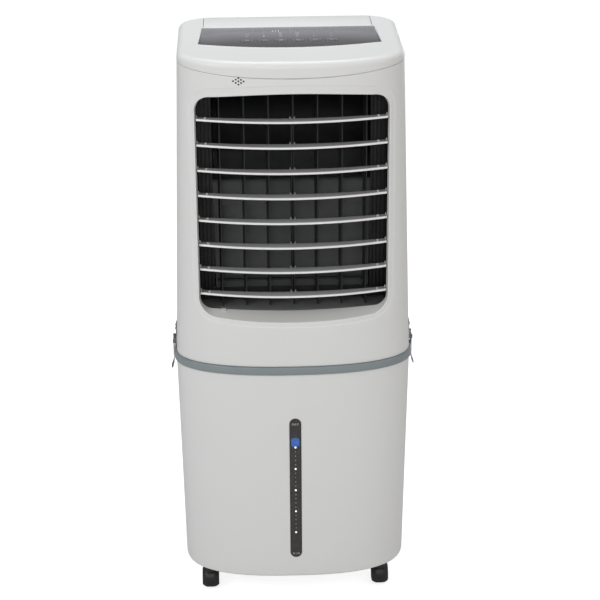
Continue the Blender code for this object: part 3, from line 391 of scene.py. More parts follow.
# ---------------------------------------------------------------- mesh helpers
class Piece:
    """Collects shapes into one mesh, each with its own material, and hands it to a body."""

    def __init__(self, name, origin=(0.0, 0.0, 0.0)):
        self.name = name
        self.origin = Vector(origin)
        self.bm = bmesh.new()
        self.materials = []

    def index(self, material):
        if material not in self.materials:
            self.materials.append(material)
        return self.materials.index(material)

    def take(self, bm, material, outward=True):
        if outward:
            bmesh.ops.recalc_face_normals(bm, faces=bm.faces)
        for face in bm.faces:
            face.material_index = self.index(material)
            face.smooth = True
        mesh = bpy.data.meshes.new("scratch")
        bm.to_mesh(mesh)
        bm.free()
        self.bm.from_mesh(mesh)
        bpy.data.meshes.remove(mesh)

    def box(self, x, y, z, material, radius=0.0008, steps=2, turn=None):
        bm = bmesh.new()
        bmesh.ops.create_cube(bm, size=1.0)
        size = Vector((x[1] - x[0], y[1] - y[0], z[1] - z[0]))
        centre = Vector((x[0] + x[1], y[0] + y[1], z[0] + z[1])) / 2
        bmesh.ops.scale(bm, vec=size, verts=bm.verts)
        radius = min(radius, 0.45 * min(size))
        bmesh.ops.bevel(bm, geom=bm.edges[:], offset=radius, segments=steps, profile=0.5, affect="EDGES")
        if turn is not None:
            bmesh.ops.transform(bm, matrix=turn, verts=bm.verts)
        bmesh.ops.translate(bm, vec=centre, verts=bm.verts)
        self.take(bm, material)

    def prism(self, outline, axis, low, high, material, radius=0.0006, steps=2):
        """Extrudes an outline and rounds the rims of both ends."""
        place = {"x": lambda a, b, c: (c, a, b), "y": lambda a, b, c: (a, c, b), "z": lambda a, b, c: (a, b, c)}[axis]
        bm = bmesh.new()
        rows = [[bm.verts.new(place(a, b, c)) for a, b in outline] for c in (low, high)]
        ends = [bm.faces.new(reversed(rows[0])), bm.faces.new(rows[1])]
        count = len(outline)
        for i in range(count):
            j = (i + 1) % count
            bm.faces.new((rows[0][i], rows[0][j], rows[1][j], rows[1][i]))
        if radius > 0:
            rims = [edge for face in ends for edge in face.edges]
            bmesh.ops.bevel(bm, geom=rims, offset=radius, segments=steps, profile=0.5, affect="EDGES")
        self.take(bm, material)

    def lathe(self, profile, axis, centre, material, steps=40):
        """Turns (radius, distance along axis) pairs round an axis into a closed solid.

        A profile that never reaches the axis becomes a ring. An end that stops off the axis gets a flat cap.
        """
        ring_shaped = profile[0][0] > 0 and profile[-1][0] > 0
        if profile[0] == profile[-1]:
            profile = profile[:-1]
        place = {"x": lambda a, b, c: (c, a, b), "y": lambda a, b, c: (a, c, b), "z": lambda a, b, c: (a, b, c)}[axis]
        bm = bmesh.new()
        rows = []
        for radius, along in profile:
            if radius == 0:
                rows.append([bm.verts.new(place(centre[0], centre[1], along))])
                continue
            ring = []
            for i in range(steps):
                turn = 2 * math.pi * i / steps
                ring.append(bm.verts.new(place(centre[0] + radius * math.cos(turn), centre[1] + radius * math.sin(turn), along)))
            rows.append(ring)
        bridge(bm, rows, wrap=True, loop=ring_shaped)
        for ring in (rows[0], rows[-1]):
            if len(ring) > 1 and not ring_shaped:
                bm.faces.new(ring)
        self.take(bm, material)

    def grid(self, rows, material, wrap=False, loop=False, caps=(False, False), outward=True):
        """A sheet through rows of points: wrap closes each row, loop joins the last row to the first."""
        bm = bmesh.new()
        made = [[bm.verts.new(point) for point in row] for row in rows]
        bridge(bm, made, wrap, loop)
        if caps[0]:
            bm.faces.new(reversed(made[0]))
        if caps[1]:
            bm.faces.new(made[-1])
        self.take(bm, material, outward)

    def tube(self, points, radius, material, steps=12, squash=1.0):
        """A round cord through points, with flat end caps."""
        path = smooth_path(points)
        rows = []
        side = None
        for i, point in enumerate(path):
            ahead = (path[min(i + 1, len(path) - 1)] - path[max(i - 1, 0)]).normalized()
            if side is None:
                side = ahead.orthogonal().normalized()
            side = (side - ahead * side.dot(ahead)).normalized()
            other = ahead.cross(side)
            ring = []
            for k in range(steps):
                turn = 2 * math.pi * k / steps
                ring.append(point + side * radius * math.cos(turn) + other * radius * squash * math.sin(turn))
            rows.append(ring)
        self.grid(rows, material, wrap=True, caps=(True, True))

    def screw(self, centre, axis, sign, material=None, radius=0.0036):
        """A pan head with a thin black cross on top, painted shade for a cross recess, standing on a surface. Centre is
        (a, b, height).
        """
        material = material or STEEL
        a, b, base = centre
        top = base + sign * radius * 0.62
        rim = base + sign * radius * 0.25
        profile = [(0, base), (radius, base), (radius, rim), (radius * 0.80, top - sign * radius * 0.12), (radius * 0.5, top), (0, top)]
        self.lathe(profile, axis, (a, b), material, 24)
        # No recess is cut: the black cross on the head is painted shade.
        arm, deep = radius * 0.52, (top - sign * 0.0001, top + sign * 0.00006)
        for long, wide in ((arm, radius * 0.12), (radius * 0.12, arm)):
            corners = [(a - long, b - wide), (a + long, b - wide), (a + long, b + wide), (a - long, b + wide)]
            self.prism(corners, axis, min(deep), max(deep), BLACK, radius=0)

    def done(self, body=ROOT, replaces=(), angle=35, bevel=None):
        mesh = bpy.data.meshes.new(self.name)
        bmesh.ops.translate(self.bm, vec=-self.origin, verts=self.bm.verts)
        self.bm.to_mesh(mesh)
        self.bm.free()
        for material in self.materials:
            mesh.materials.append(material)
        mesh.set_sharp_from_angle(angle=math.radians(angle))
        obj = bpy.data.objects.new(self.name, mesh)
        obj.location = self.origin + SHIFT
        bpy.context.scene.collection.objects.link(obj)
        if bevel:
            modifier = obj.modifiers.new("soft_edges", "BEVEL")
            modifier.width = bevel
            modifier.segments = 2
            modifier.limit_method = "ANGLE"
            modifier.angle_limit = math.radians(40)
            modifier.harden_normals = True
        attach(obj, body)
        if replaces:
            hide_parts(*replaces)
        return obj


def bridge(bm, rows, wrap, loop=False):
    """Quads between rows of vertices, and from the last row back to the first in a loop.

    A row of one vertex is a pole.
    """
    following = rows[1:] + rows[:1] if loop else rows[1:]
    for low, high in zip(rows, following):
        count = max(len(low), len(high))
        for i in range(count if wrap else count - 1):
            j = (i + 1) % count
            if len(low) == 1:
                bm.faces.new((low[0], high[j], high[i]))
            elif len(high) == 1:
                bm.faces.new((low[i], low[j], high[0]))
            else:
                bm.faces.new((low[i], low[j], high[j], high[i]))


def smooth_path(points, steps=10):
    """Catmull-Rom points through the given ones."""
    points = [Vector(point) for point in points]
    ends = [2 * points[0] - points[1]] + points + [2 * points[-1] - points[-2]]
    path = []
    for p0, p1, p2, p3 in zip(ends, ends[1:], ends[2:], ends[3:]):
        for i in range(steps):
            t = i / steps
            a, b = 2 * p1, (p2 - p0) * t
            c, d = (2 * p0 - 5 * p1 + 4 * p2 - p3) * t * t, (3 * p1 - p0 - 3 * p2 + p3) * t**3
            path.append((a + b + c + d) / 2)
    path.append(points[-1])
    return path


def carve(obj, *cutters, solver="EXACT"):
    """Cuts scratch pieces out of an object and removes them."""
    for cutter in cutters:
        modifier = obj.modifiers.new("cut", "BOOLEAN")
        modifier.operation = "DIFFERENCE"
        modifier.solver = solver
        modifier.object = cutter
    graph = bpy.context.evaluated_depsgraph_get()
    mesh = bpy.data.meshes.new_from_object(obj.evaluated_get(graph))
    obj.modifiers.clear()
    obj.data = mesh
    mesh.set_sharp_from_angle(angle=math.radians(35))
    for cutter in cutters:
        bpy.data.objects.remove(cutter)


def scratch(build):
    """A cutter made by a function that fills a Piece."""
    piece = Piece("cutter")
    build(piece)
    mesh = bpy.data.meshes.new("cutter")
    piece.bm.to_mesh(mesh)
    piece.bm.free()
    obj = bpy.data.objects.new("cutter", mesh)
    obj.location = SHIFT
    bpy.context.scene.collection.objects.link(obj)
    return obj


def soften(obj, width, angle=40):
    modifier = obj.modifiers.new("soft_edges", "BEVEL")
    modifier.width = width
    modifier.segments = 2
    modifier.limit_method = "ANGLE"
    modifier.angle_limit = math.radians(angle)
    modifier.harden_normals = True


def arc(centre, radius, start, end, steps):
    angles = [math.radians(start + (end - start) * i / steps) for i in range(steps + 1)]
    return [(centre[0] + radius * math.cos(a), centre[1] + radius * math.sin(a)) for a in angles]


def rounded_rectangle(half_x, half_y, radius, steps=8, centre=(0.0, 0.0)):
    points = []
    for sx, sy, start in ((1, 1, 0), (-1, 1, 90), (-1, -1, 180), (1, -1, 270)):
        corner = (centre[0] + sx * (half_x - radius), centre[1] + sy * (half_y - radius))
        points += arc(corner, radius, start, start + 90, steps)
    return points


def mixed(a, b, share):
    return a + (b - a) * share


# ---------------------------------------------------------------- the body's outline
def blend_share(z):
    return min(1.0, max(0.0, (z - 0.063) / (BAND_Z[0] - 0.063)))


def half_width(z):
    if z <= BAND_Z[0]:
        return mixed(HALF_WIDTH["base"], HALF_WIDTH["waist"], blend_share(z))
    return mixed(HALF_WIDTH["waist"], HALF_WIDTH["top"], (z - BAND_Z[0]) / (TOP_WIDTH_Z - BAND_Z[0]))


def front_curve(z, inset, steps=120):
    share = blend_share(z)
    depth = mixed(NOSE_DEPTH["base"], NOSE_DEPTH["waist"], share)
    power = mixed(ROUNDNESS["base"], ROUNDNESS["waist"], share)
    a, b = half_width(z) - inset, depth - inset
    points = []
    for i in range(steps + 1):
        t = math.pi * i / steps
        c, s = math.cos(t), math.sin(t)
        points.append((math.copysign(a * abs(c) ** (2 / power), c), FRONT_Y + depth - b * abs(s) ** (2 / power)))
    return points


def rear_curve(z, inset, steps=14, corner=REAR_CORNER):
    a = half_width(z) - inset
    radius = corner - inset
    corner_x, corner_y = a - radius, BACK_Y - inset - radius
    left = arc((-corner_x, corner_y), radius, 180, 90, steps)
    right = arc((corner_x, corner_y), radius, 90, 0, steps)
    back = [(mixed(-corner_x, corner_x, i / 12), BACK_Y - inset) for i in range(1, 12)]
    return left + back + right


def side_run(first, last, steps=8):
    return [(mixed(first[0], last[0], i / steps), mixed(first[1], last[1], i / steps)) for i in range(1, steps)]


def body_ring(z, inset=0.0, height=None, corner=REAR_CORNER):
    """A closed ring round the body, evenly enough spaced for smooth shading."""
    front, rear = front_curve(z, inset), rear_curve(z, inset, corner=corner)
    loop = front + side_run(front[-1], rear[0]) + rear + side_run(rear[-1], front[0])
    return [(x, y, z if height is None else height(x, y)) for x, y in loop]


def parting_z(x, y):
    """The seam under the top cover."""
    level, dip = 1.1060, 0.0125
    if y > FRONT_Y + NOSE_DEPTH["waist"]:
        return level
    return level - dip * (1 - min(1.0, (x / HALF_WIDTH["top"]) ** 2))


# ---------------------------------------------------------------- the bowed front as a surface of (run, z)
# The run is the distance along the front from its middle, measured at mid height.
RUN_STEPS = 400
RUN_HALF = half_width(0.80)
RUN_POWER = ROUNDNESS["waist"]
RUN_DEPTH = NOSE_DEPTH["waist"]
WIDEST_Y = FRONT_Y + RUN_DEPTH


def run_table():
    angles, runs = [], []
    last, total = None, 0.0
    for i in range(RUN_STEPS + 1):
        t = 0.5 * math.pi * (1 - i / RUN_STEPS)
        here = Vector((RUN_HALF * math.cos(t) ** (2 / RUN_POWER), RUN_DEPTH * math.sin(t) ** (2 / RUN_POWER)))
        total += (here - last).length if last is not None else 0.0
        last = here
        angles.append(t)
        runs.append(total)
    return np.array(angles), np.array(runs)


ANGLES, RUNS = run_table()
RUN_END = float(RUNS[-1])
RUN_SEAM = RUN_END + (SEAM_Y - SEAM_GAP - WIDEST_Y)


def front_point(run, z, inset=0.0):
    """A point on the front at a run and height. Inset moves it inwards."""
    side = math.copysign(1.0, run)
    a, d = half_width(z) - inset, RUN_DEPTH - inset
    if abs(run) >= RUN_END:
        return Vector((side * a, WIDEST_Y + abs(run) - RUN_END, z))
    t = float(np.interp(abs(run), RUNS, ANGLES))
    x = side * a * max(0.0, math.cos(t)) ** (2 / RUN_POWER)
    return Vector((x, WIDEST_Y - d * max(0.0, math.sin(t)) ** (2 / RUN_POWER), z))


def run_of(x, z):
    t = math.acos(min(1.0, abs(x) / half_width(z)) ** (RUN_POWER / 2))
    return math.copysign(float(np.interp(-t, -ANGLES, RUNS)), x)


def outlet_outline(grow=0.0, lift=0.0, narrow=0.0, fine=6):
    """The air outlet seen from the front, as (x, z), going anticlockwise from the right."""
    half = 0.1795 + grow - narrow
    top_radius, bottom_radius = 0.030 + grow, 0.036 + grow - 2 * lift
    top_x, bottom_x = half - top_radius, half - bottom_radius

    def top(x):
        return 1.0643 - 0.0098 * (x / 0.1525) ** 2 + grow - narrow

    def bottom(x):
        return 0.6165 + 0.0075 * (x / 0.150) ** 2 - grow + lift

    across, corner, down = 8 * fine, 3 * fine, 7 * fine
    upper = [(top_x * (1 - 2 * i / across), top(top_x * (1 - 2 * i / across))) for i in range(1, across)]
    lower = [(-bottom_x * (1 - 2 * i / across), bottom(bottom_x * (1 - 2 * i / across))) for i in range(1, across)]
    right_top = arc((top_x, top(top_x) - top_radius), top_radius, 0, 83, corner)
    left_top = arc((-top_x, top(top_x) - top_radius), top_radius, 97, 180, corner)
    left_bottom = arc((-bottom_x, bottom(bottom_x) + bottom_radius), bottom_radius, 180, 266, corner)
    right_bottom = arc((bottom_x, bottom(bottom_x) + bottom_radius), bottom_radius, 274, 360, corner)
    left_side = side_run(left_top[-1], left_bottom[0], down)
    right_side = side_run(right_bottom[-1], right_top[0], down)
    return right_top + upper + left_top + left_side + left_bottom + lower + right_bottom + right_side


def outward_normals(outline):
    normals = []
    count = len(outline)
    for i in range(count):
        before, after = Vector(outline[i - 1]), Vector(outline[(i + 1) % count])
        ahead = (after - before).normalized()
        normals.append(Vector((ahead.y, -ahead.x)))
    return normals


def panel_frame_point(run, z_share, low, inset=0.0):
    """A point of the panel's outer border: z_share 0 is the lower edge and 1 the parting line."""
    x, y, _ = front_point(run, 1.10, inset)
    return mixed(low, parting_z(x, y) - SEAM_GAP, z_share)


def border_places(outline, low):
    """For each point of the opening, the border point (run, z_share) it is joined to."""
    middle_z, top = 0.5 * (low + 1.10), 1.10
    places = []
    for x, z in outline:
        run = run_of(x, z)
        scale = 1.0 / max(abs(run) / RUN_SEAM, abs(z - middle_z) / (0.5 * (top - low)), 1e-6)
        places.append([run * scale, ((z - middle_z) * scale) / (top - low) + 0.5])
    for side_x in (-1, 1):
        for side_z in (0, 1):
            nearest = min(places, key=lambda p: (p[0] / RUN_SEAM - side_x) ** 2 + (2 * (p[1] - side_z)) ** 2)
            nearest[0], nearest[1] = side_x * RUN_SEAM, side_z
    return places


SPEAKER_HOLE = 0.0018  # radius
SPEAKER_STEPS = ((0, 0), (0, 2), (0, -2), (2, 0), (-2, 0), (1, 1), (1, -1), (-1, 1), (-1, -1))
SPEAKER_PLACES = [(-0.0972 + 0.0047 * i, 1.0884 + 0.0030 * j) for i, j in SPEAKER_STEPS]


def make_front_panel():
    """The front: a drafted, rounded opening, a soft step round it, and the bowed sheet out to the seams."""
    wall, low = 0.003, BAND_Z[1] + SEAM_GAP
    outline = outlet_outline()
    normals = outward_normals(outline)
    borders = border_places(outline, low)
    inner_end = outlet_outline(0.0004, 0.0055, 0.0025)
    outer_end = outlet_outline(0.0026, 0.005, 0.002)
    end_y = FRAME_FRONT_Y - 0.0004

    def behind_front(offset, depth):
        row = []
        for (x, z), normal in zip(outline, normals):
            x, z = x + normal.x * offset, z + normal.y * offset
            row.append(front_point(run_of(x, z), z) + Vector((0.0, depth, 0.0)))
        return row

    def step_row(share, inset):
        row = []
        for (x, z), normal in zip(outline, normals):
            offset = 0.0090 + 0.0060 * max(0.0, normal.y) ** 2 + share * 0.0022
            x, z = x + normal.x * offset, z + normal.y * offset
            row.append(front_point(run_of(x, z), z, inset))
        return row

    def border_row(share, inset, shrink=0.0):
        row = []
        for (x, z), normal, (run, z_share) in zip(outline, normals, borders):
            offset = 0.0115 + 0.0060 * max(0.0, normal.y) ** 2
            x, z = x + normal.x * offset, z + normal.y * offset
            edge_run = run * (1 - shrink / RUN_SEAM)
            edge_z = panel_frame_point(edge_run, z_share, low) - shrink * (2 * z_share - 1)
            row.append(front_point(mixed(run_of(x, z), edge_run, share), mixed(z, edge_z, share), inset))
        return row

    rows = [[(x, end_y, z) for x, z in inner_end]]
    rows += [behind_front(0.0, 0.0045)]
    for angle in (15, 30, 45, 60, 75, 90):
        a = math.radians(angle)
        rows.append(behind_front(0.0018 * (1 - math.cos(a)), 0.0008 + 0.0018 * (1 - math.sin(a))))
    rows += [behind_front(0.0050, 0.0008)]
    for share, inset in ((0.0, 0.0008), (0.25, 0.0007), (0.5, 0.0004), (0.75, 0.0001), (1.0, 0.0)):
        rows.append(step_row(share, inset))
    rows += [border_row(share, 0.0) for share in (0.12, 0.25, 0.38, 0.50, 0.62, 0.74, 0.86, 0.95)]
    rows += [border_row(1.0, 0.0, EDGE), border_row(1.0, 0.0003, 0.0003), border_row(1.0, EDGE), border_row(1.0, wall)]
    rows += [border_row(share, wall) for share in (0.8, 0.6, 0.4, 0.2)]
    rows += [behind_front(0.0026, wall + 0.0012), [(x, end_y, z) for x, z in outer_end]]
    piece = Piece("front_panel_shell")
    piece.grid(rows, WHITE, wrap=True, loop=True)
    shell = piece.done(replaces=["front_panel"], angle=50)
    carve(shell, scratch(fill_speaker_holes), solver="MANIFOLD")
    # Black discs inside the speaker holes: painted shade.
    hole_shade = Piece("speaker_hole_shade")
    for x, z in SPEAKER_PLACES:
        y = front_point(run_of(x, z), z).y
        hole_shade.prism(arc((x, z), SPEAKER_HOLE - 0.0001, 0, 345, 23), "y", y + 0.0010, y + 0.0032, BLACK, radius=0)
    hole_shade.done()


def fill_speaker_holes(piece):
    for place in SPEAKER_PLACES:
        piece.prism(arc(place, SPEAKER_HOLE, 0, 345, 23), "y", FRONT_Y - 0.005, FRONT_Y + 0.030, BLACK, radius=0)


# ---------------------------------------------------------------- tank, band and rear housing
def make_tank():
    z0, z1, wall, edge = TANK_BOTTOM_Z, BAND_Z[0] - SEAM_GAP, 0.0035, 0.0055
    rings = []
    for i in range(7):
        a = math.radians(90 * i / 6)
        inset = edge * (1 - math.sin(a))
        rings.append([(x, y, z0 + edge * (1 - math.cos(a))) for x, y, _ in body_ring(z0, inset)])
    for i in range(1, 25):
        rings.append(body_ring(mixed(z0 + edge, z1 - EDGE, i / 24)))
    rings.append([(x, y, z1) for x, y, _ in body_ring(z1, EDGE)])
    rings.append(body_ring(z1, wall))
    for i in range(1, 6):
        rings.append(body_ring(mixed(z1, z0 + edge, i / 6), wall))
    rings.append([(x, y, z0 + wall) for x, y, _ in body_ring(z0, edge)])
    piece = Piece("tank_shell")
    piece.grid(rings, WHITE, wrap=True, caps=(True, True))
    shell = piece.done(replaces=["water_tank"], angle=50)
    carve(shell, scratch(fill_tank_cuts))
    fitted = Piece("tank_fittings")
    for side in (-1, 1):
        for place_y in (-0.102, 0.110):
            fitted.lathe([(0.0060, z0 - 0.0002), (0.0165, z0 - 0.0002), (0.0170, z0 + 0.001), (0.0060, z0 + 0.001)], "z", (side * 0.173, place_y), WHITE_INNER)
            fitted.lathe([(0.0048, z0 + 0.003), (0.0085, z0 + 0.003), (0.0080, z0 + 0.030), (0.0048, z0 + 0.030)], "z", (side * 0.173, place_y), WHITE_INNER)
        fitted.box(sorted((side * 0.060, side * 0.064)), (-0.110, 0.150), (z0 + 0.0032, z0 + 0.0100), WHITE_INNER)
    for x in (-0.12, 0.0, 0.12):
        fitted.box((x - 0.0015, x + 0.0015), (-0.120, 0.155), (z0 - 0.0006, z0 + 0.0004), WHITE_INNER, radius=0.0003)
    fitted.done()
    rim = Piece("window_rim")
    ring = stadium(WINDOW_HALF + 0.0003, WINDOW_Z, 0.0)
    outer = stadium(WINDOW_HALF + 0.0016, WINDOW_Z, 0.0013)
    rows = []
    for points, y in ((ring, 0.0030), (ring, -0.0002), (outer, -0.0003), (outer, 0.0010)):
        rows.append([(x, FRONT_Y + y + 0.4 * x * x, z) for x, z in points])
    rim.grid(rows, WHITE, wrap=True, loop=True)
    rim.done(angle=60)


def stadium(half, z, grow, steps=16):
    """An upright slot with round ends, as (x, z)."""
    low, high = z[0] - grow, z[1] + grow
    return arc((0.0, high - half), half, 0, 180, steps) + arc((0.0, low + half), half, 180, 360, steps)


def fill_tank_cuts(piece):
    piece.prism(stadium(WINDOW_HALF + 0.0003, WINDOW_Z, 0.0003), "y", FRONT_Y - 0.01, FRONT_Y + 0.012, CHANNEL, radius=0)
    piece.prism(arc((0.0, 0.098), 0.0105, 0, 352, 44), "y", BACK_Y - 0.010, BACK_Y + 0.010, WHITE_INNER, radius=0)


def make_band():
    """A proud seal band with rounded edges, faintly crowned along its middle."""
    low, high = BAND_Z[0] + 0.0001, BAND_Z[1] - 0.0001
    middle = (low + high) / 2
    section = [(0.0030, low), (-0.0020, low), (-0.0034, low + 0.0006), (-0.0040, low + 0.0020)]
    section += [(-0.0041, middle - 0.0010), (-0.0041, middle + 0.0010), (-0.0040, high - 0.0020)]
    section += [(-0.0034, high - 0.0006), (-0.0020, high), (0.0030, high)]
    rings = []
    for inset, z in section:
        rings.append([(x, y, z) for x, y, _ in body_ring(middle, inset)])
    piece = Piece("seal_band")
    piece.grid(rings, BAND, wrap=True, loop=True)
    piece.done(replaces=["waist_band"], angle=60)


def make_rear_housing():
    """Sides and back of the upper unit, the floor inside it, and the cord hooks."""
    low, wall = BAND_Z[1] + SEAM_GAP, 0.003
    high = 1.1060 - SEAM_GAP

    def column(z, inset):
        curve = rear_curve(z, inset)
        start, end = (curve[0][0], SEAM_Y + SEAM_GAP), (curve[-1][0], SEAM_Y + SEAM_GAP)
        return [start] + side_run(start, curve[0]) + curve + side_run(curve[-1], end) + [end]

    rows = []
    for z, inset in ((low, EDGE), (low + EDGE, 0.0)):
        rows.append([(x, y, z) for x, y in column(z, inset)])
    for i in range(1, 12):
        z = mixed(low + EDGE, high - EDGE, i / 12)
        rows.append([(x, y, z) for x, y in column(z, 0.0)])
    for z, inset in ((high - EDGE, 0.0), (high, EDGE), (high, wall)):
        rows.append([(x, y, z) for x, y in column(z, inset)])
    rows.append([(x, y, low) for x, y in column(low, wall)])
    rows.append(rows[0])
    piece = Piece("rear_shell")
    bm = bmesh.new()
    made = [[bm.verts.new(point) for point in row] for row in rows[:-1]]
    made.append(made[0])
    bridge(bm, made, False)
    for end in (0, -1):
        bm.faces.new([row[end] for row in made[:-1]])
    piece.take(bm, WHITE)
    shell = piece.done(replaces=["rear_housing"], angle=50)
    carve(shell, scratch(fill_rear_cuts))
    inside = Piece("housing_floor")
    inside.prism([(x, y) for x, y, _ in body_ring(0.53, 0.0036)], "z", 0.5280, 0.5315, WHITE_INNER)
    inside.done()
    hooks = Piece("cord_hooks")
    for x in (-0.060, 0.060):
        hooks.box((x - 0.014, x + 0.014), (0.1795, 0.1815), (0.547, 0.563), WHITE, radius=0.0009)
        hooks.box((x - 0.010, x + 0.010), (0.178, 0.202), (0.553, 0.557), WHITE, radius=0.0012)
        hooks.box((x - 0.010, x + 0.010), (0.1985, 0.202), (0.5535, 0.566), WHITE, radius=0.0014)
    hooks.done()
    screws = Piece("housing_screws")
    for x in (-0.185, 0.185):
        for z in (0.575, 0.800, 1.060):
            screws.screw((x, z, BACK_Y - 0.0008), "y", 1) if abs(x) < half_width(z) - REAR_CORNER else None
    for x in (-0.155, 0.155):
        for z in (0.575, 1.068):
            screws.lathe([(0.0062, BACK_Y - 0.0005), (0.0058, BACK_Y + 0.0004), (0.0044, BACK_Y + 0.0004), (0.0040, BACK_Y - 0.0005)], "y", (x, z), WHITE)
            screws.screw((x, z, BACK_Y - 0.0010), "y", 1)
    screws.done()


def fill_rear_cuts(piece):
    low, high = node_box("rear_grille")
    piece.box((low.x - 0.0003, high.x + 0.0003), (0.170, 0.190), (low.z - 0.0003, high.z + 0.0003), WHITE, radius=0.0006)
    piece.prism(arc((-0.150, 0.560), 0.0042, 0, 350, 35), "y", 0.170, 0.190, WHITE, radius=0)


# ---------------------------------------------------------------- top cover, control panel, lid
def panel_outline(grow, steps=48):
    back_y, corner_y, bow = 0.0865 + grow, -0.0335, 0.0315
    back_x, front_x = 0.1650 + grow, 0.1705 + grow
    front = []
    for i in range(steps + 1):
        share = 2 * i / steps - 1
        front.append((front_x * share, corner_y - bow * (1 - share * share) - grow))
    return front + [(back_x, back_y), (-back_x, back_y)]


def make_top_cover():
    edge, wall = 0.012, 0.003
    flat = TOP_Z
    sweep = 0.062  # rear corner radius at the upper edge
    rings = []
    for inset in (0.020, 0.0135):
        rings.append([(x, y, flat) for x, y, _ in body_ring(TOP_WIDTH_Z, inset, corner=sweep)])
    for i in range(9):
        a = math.radians(90 - 90 * i / 8)
        corner = mixed(sweep, REAR_CORNER + 0.002, (i / 8) ** 1.5)
        ring = body_ring(TOP_WIDTH_Z, edge * (1 - math.cos(a)), corner=corner)
        rings.append([(x, y, flat - edge + edge * math.sin(a)) for x, y, _ in ring])
    outer = body_ring(1.1060, 0.0, parting_z)
    first = rings[-1]
    for share in (0.35, 0.7):
        row = []
        for (x0, y0, z0), (x1, y1, z1) in zip(first, outer):
            row.append((mixed(x0, x1, share), mixed(y0, y1, share), mixed(z0, z1 + EDGE, share)))
        rings.append(row)
    rings.append([(x, y, z + EDGE) for x, y, z in outer])
    lip = body_ring(1.1060, EDGE)
    rings.append([(x, y, z) for (x, y, _), (_, _, z) in zip(lip, outer)])
    inner = body_ring(1.1060, wall)
    rings.append([(x, y, z) for (x, y, _), (_, _, z) in zip(inner, outer)])
    rings.append([(x, y, flat - edge) for x, y, _ in body_ring(TOP_WIDTH_Z, wall)])
    rings.append([(x, y, flat - wall) for x, y, _ in body_ring(TOP_WIDTH_Z, edge)])
    piece = Piece("top_shell")
    piece.grid(rings, WHITE, wrap=True, caps=(True, True))
    shell = piece.done(replaces=["top_cover"], angle=50)
    carve(shell, scratch(fill_top_cuts))
    seat = Piece("panel_seat")
    outer_edge, inner_edge = panel_outline(0.003), panel_outline(-0.006)
    rows = []
    for points, z in ((outer_edge, flat - 0.0010), (outer_edge, flat - 0.009), (inner_edge, flat - 0.009), (inner_edge, flat - 0.0045), (outer_edge, flat - 0.0045)):
        rows.append([(x, y, z) for x, y in points])
    seat.grid(rows, WHITE_INNER, wrap=True, loop=True)
    seat.done()
    rim = Piece("panel_rim")
    inner_rim, middle_rim, outer_rim = panel_outline(0.0003), panel_outline(0.0011), panel_outline(0.0020)
    rows = []
    for points, z in ((inner_rim, flat - 0.0022), (inner_rim, flat + 0.0002), (middle_rim, flat + 0.0007), (outer_rim, flat + 0.0002), (outer_rim, flat - 0.0022)):
        rows.append([(x, y, z) for x, y in points])
    rim.grid(rows, WHITE, wrap=True, loop=True)
    rim.done(angle=70)


def fill_top_cuts(piece):
    lid_x, lid_y = LID_HALF + 0.0008, (LID_FRONT_Y - 0.0006, 0.1708)
    deep = (TOP_Z - 0.020, TOP_Z + 0.010)
    piece.prism(panel_outline(0.0003), "z", *deep, WHITE, radius=0)
    piece.box((-lid_x, lid_x), lid_y, deep, WHITE, radius=0.0008)


def key_x(index):
    low, high = node_box(f"key_{index}")
    return (low.x + high.x) / 2


KEY_Y = (node_box("key_1")[0].y + node_box("key_1")[1].y) / 2
KEY_HALF = (0.0120, 0.0100)


def make_control_panel():
    """Smoked acrylic plate with printed symbols and small lamps."""
    piece = Piece("panel_plate")
    piece.prism(panel_outline(-0.0001), "z", PANEL_TOP_Z - 0.0045, PANEL_TOP_Z, PANEL, radius=0.0004)
    plate = piece.done(replaces=["control_panel"])
    carve(plate, scratch(fill_key_holes))
    marks = Piece("panel_marks")
    z = (PANEL_TOP_Z - 0.0001, PANEL_TOP_Z + 0.00008)

    def dot(x, y, radius, material=INK):
        marks.prism(arc((x, y), radius, 0, 330, 11), "z", *z, material, radius=0)

    def dash(x, y, wide, tall, material=INK):
        marks.prism([(x - wide, y - tall), (x + wide, y - tall), (x + wide, y + tall), (x - wide, y + tall)], "z", *z, material, radius=0)

    def ring(x, y, radius, thick, start=0, end=360):
        outline = arc((x, y), radius, start, end, 24) + arc((x, y), radius - thick, end, start, 24)
        marks.prism(outline, "z", *z, INK, radius=0)

    row = KEY_Y + 0.0295
    for index in (1, 5, 6):
        ring(key_x(index), row, 0.0022, 0.0006, 0, 359)
    ring(key_x(1), row + 0.016, 0.0036, 0.0006, 120, 420)
    dash(key_x(1), row + 0.0185, 0.0003, 0.0022)
    for index in (3, 4):
        for k in range(5):
            dash(key_x(index), row - 0.002 + k * 0.0075, 0.0022 + 0.0004 * k, 0.0008)
    marks.prism([(key_x(2), row + 0.007), (key_x(2) - 0.0022, row + 0.001), (key_x(2), row - 0.002), (key_x(2) + 0.0022, row + 0.001)], "z", *z, INK, radius=0)
    for index in (2, 5, 6):
        dot(key_x(index), row + 0.019, 0.0011)
    for k in range(9):
        dot(-0.030 + k * 0.0055, row + 0.040, 0.0009, LAMP_WHITE_AND_PAINTED_GLOW if k < 3 else INK)
    for k in range(4):
        dash(0.036 + k * 0.0060, row + 0.040, 0.0018, 0.0004)
    marks.done()
    board = Piece("board_parts")
    top = 1.1076
    for x, y, wide, deep, tall, finish in (
        (-0.060, 0.024, 0.010, 0.007, 0.003, BLACK),
        (0.020, 0.032, 0.007, 0.007, 0.002, BLACK),
        (0.070, 0.014, 0.009, 0.006, 0.005, WHITE_INNER),
    ):
        board.box((x - wide, x + wide), (y - deep, y + deep), (top, top + tall), finish, radius=0.0003)
    for k in range(6):
        board.lathe([(0, top + 0.0022), (0.0022, top + 0.0020), (0.0022, top), (0, top)], "z", (-0.035 + 0.012 * k, 0.046), LAMP_WHITE_AND_PAINTED_GLOW, 16)
    board.done()


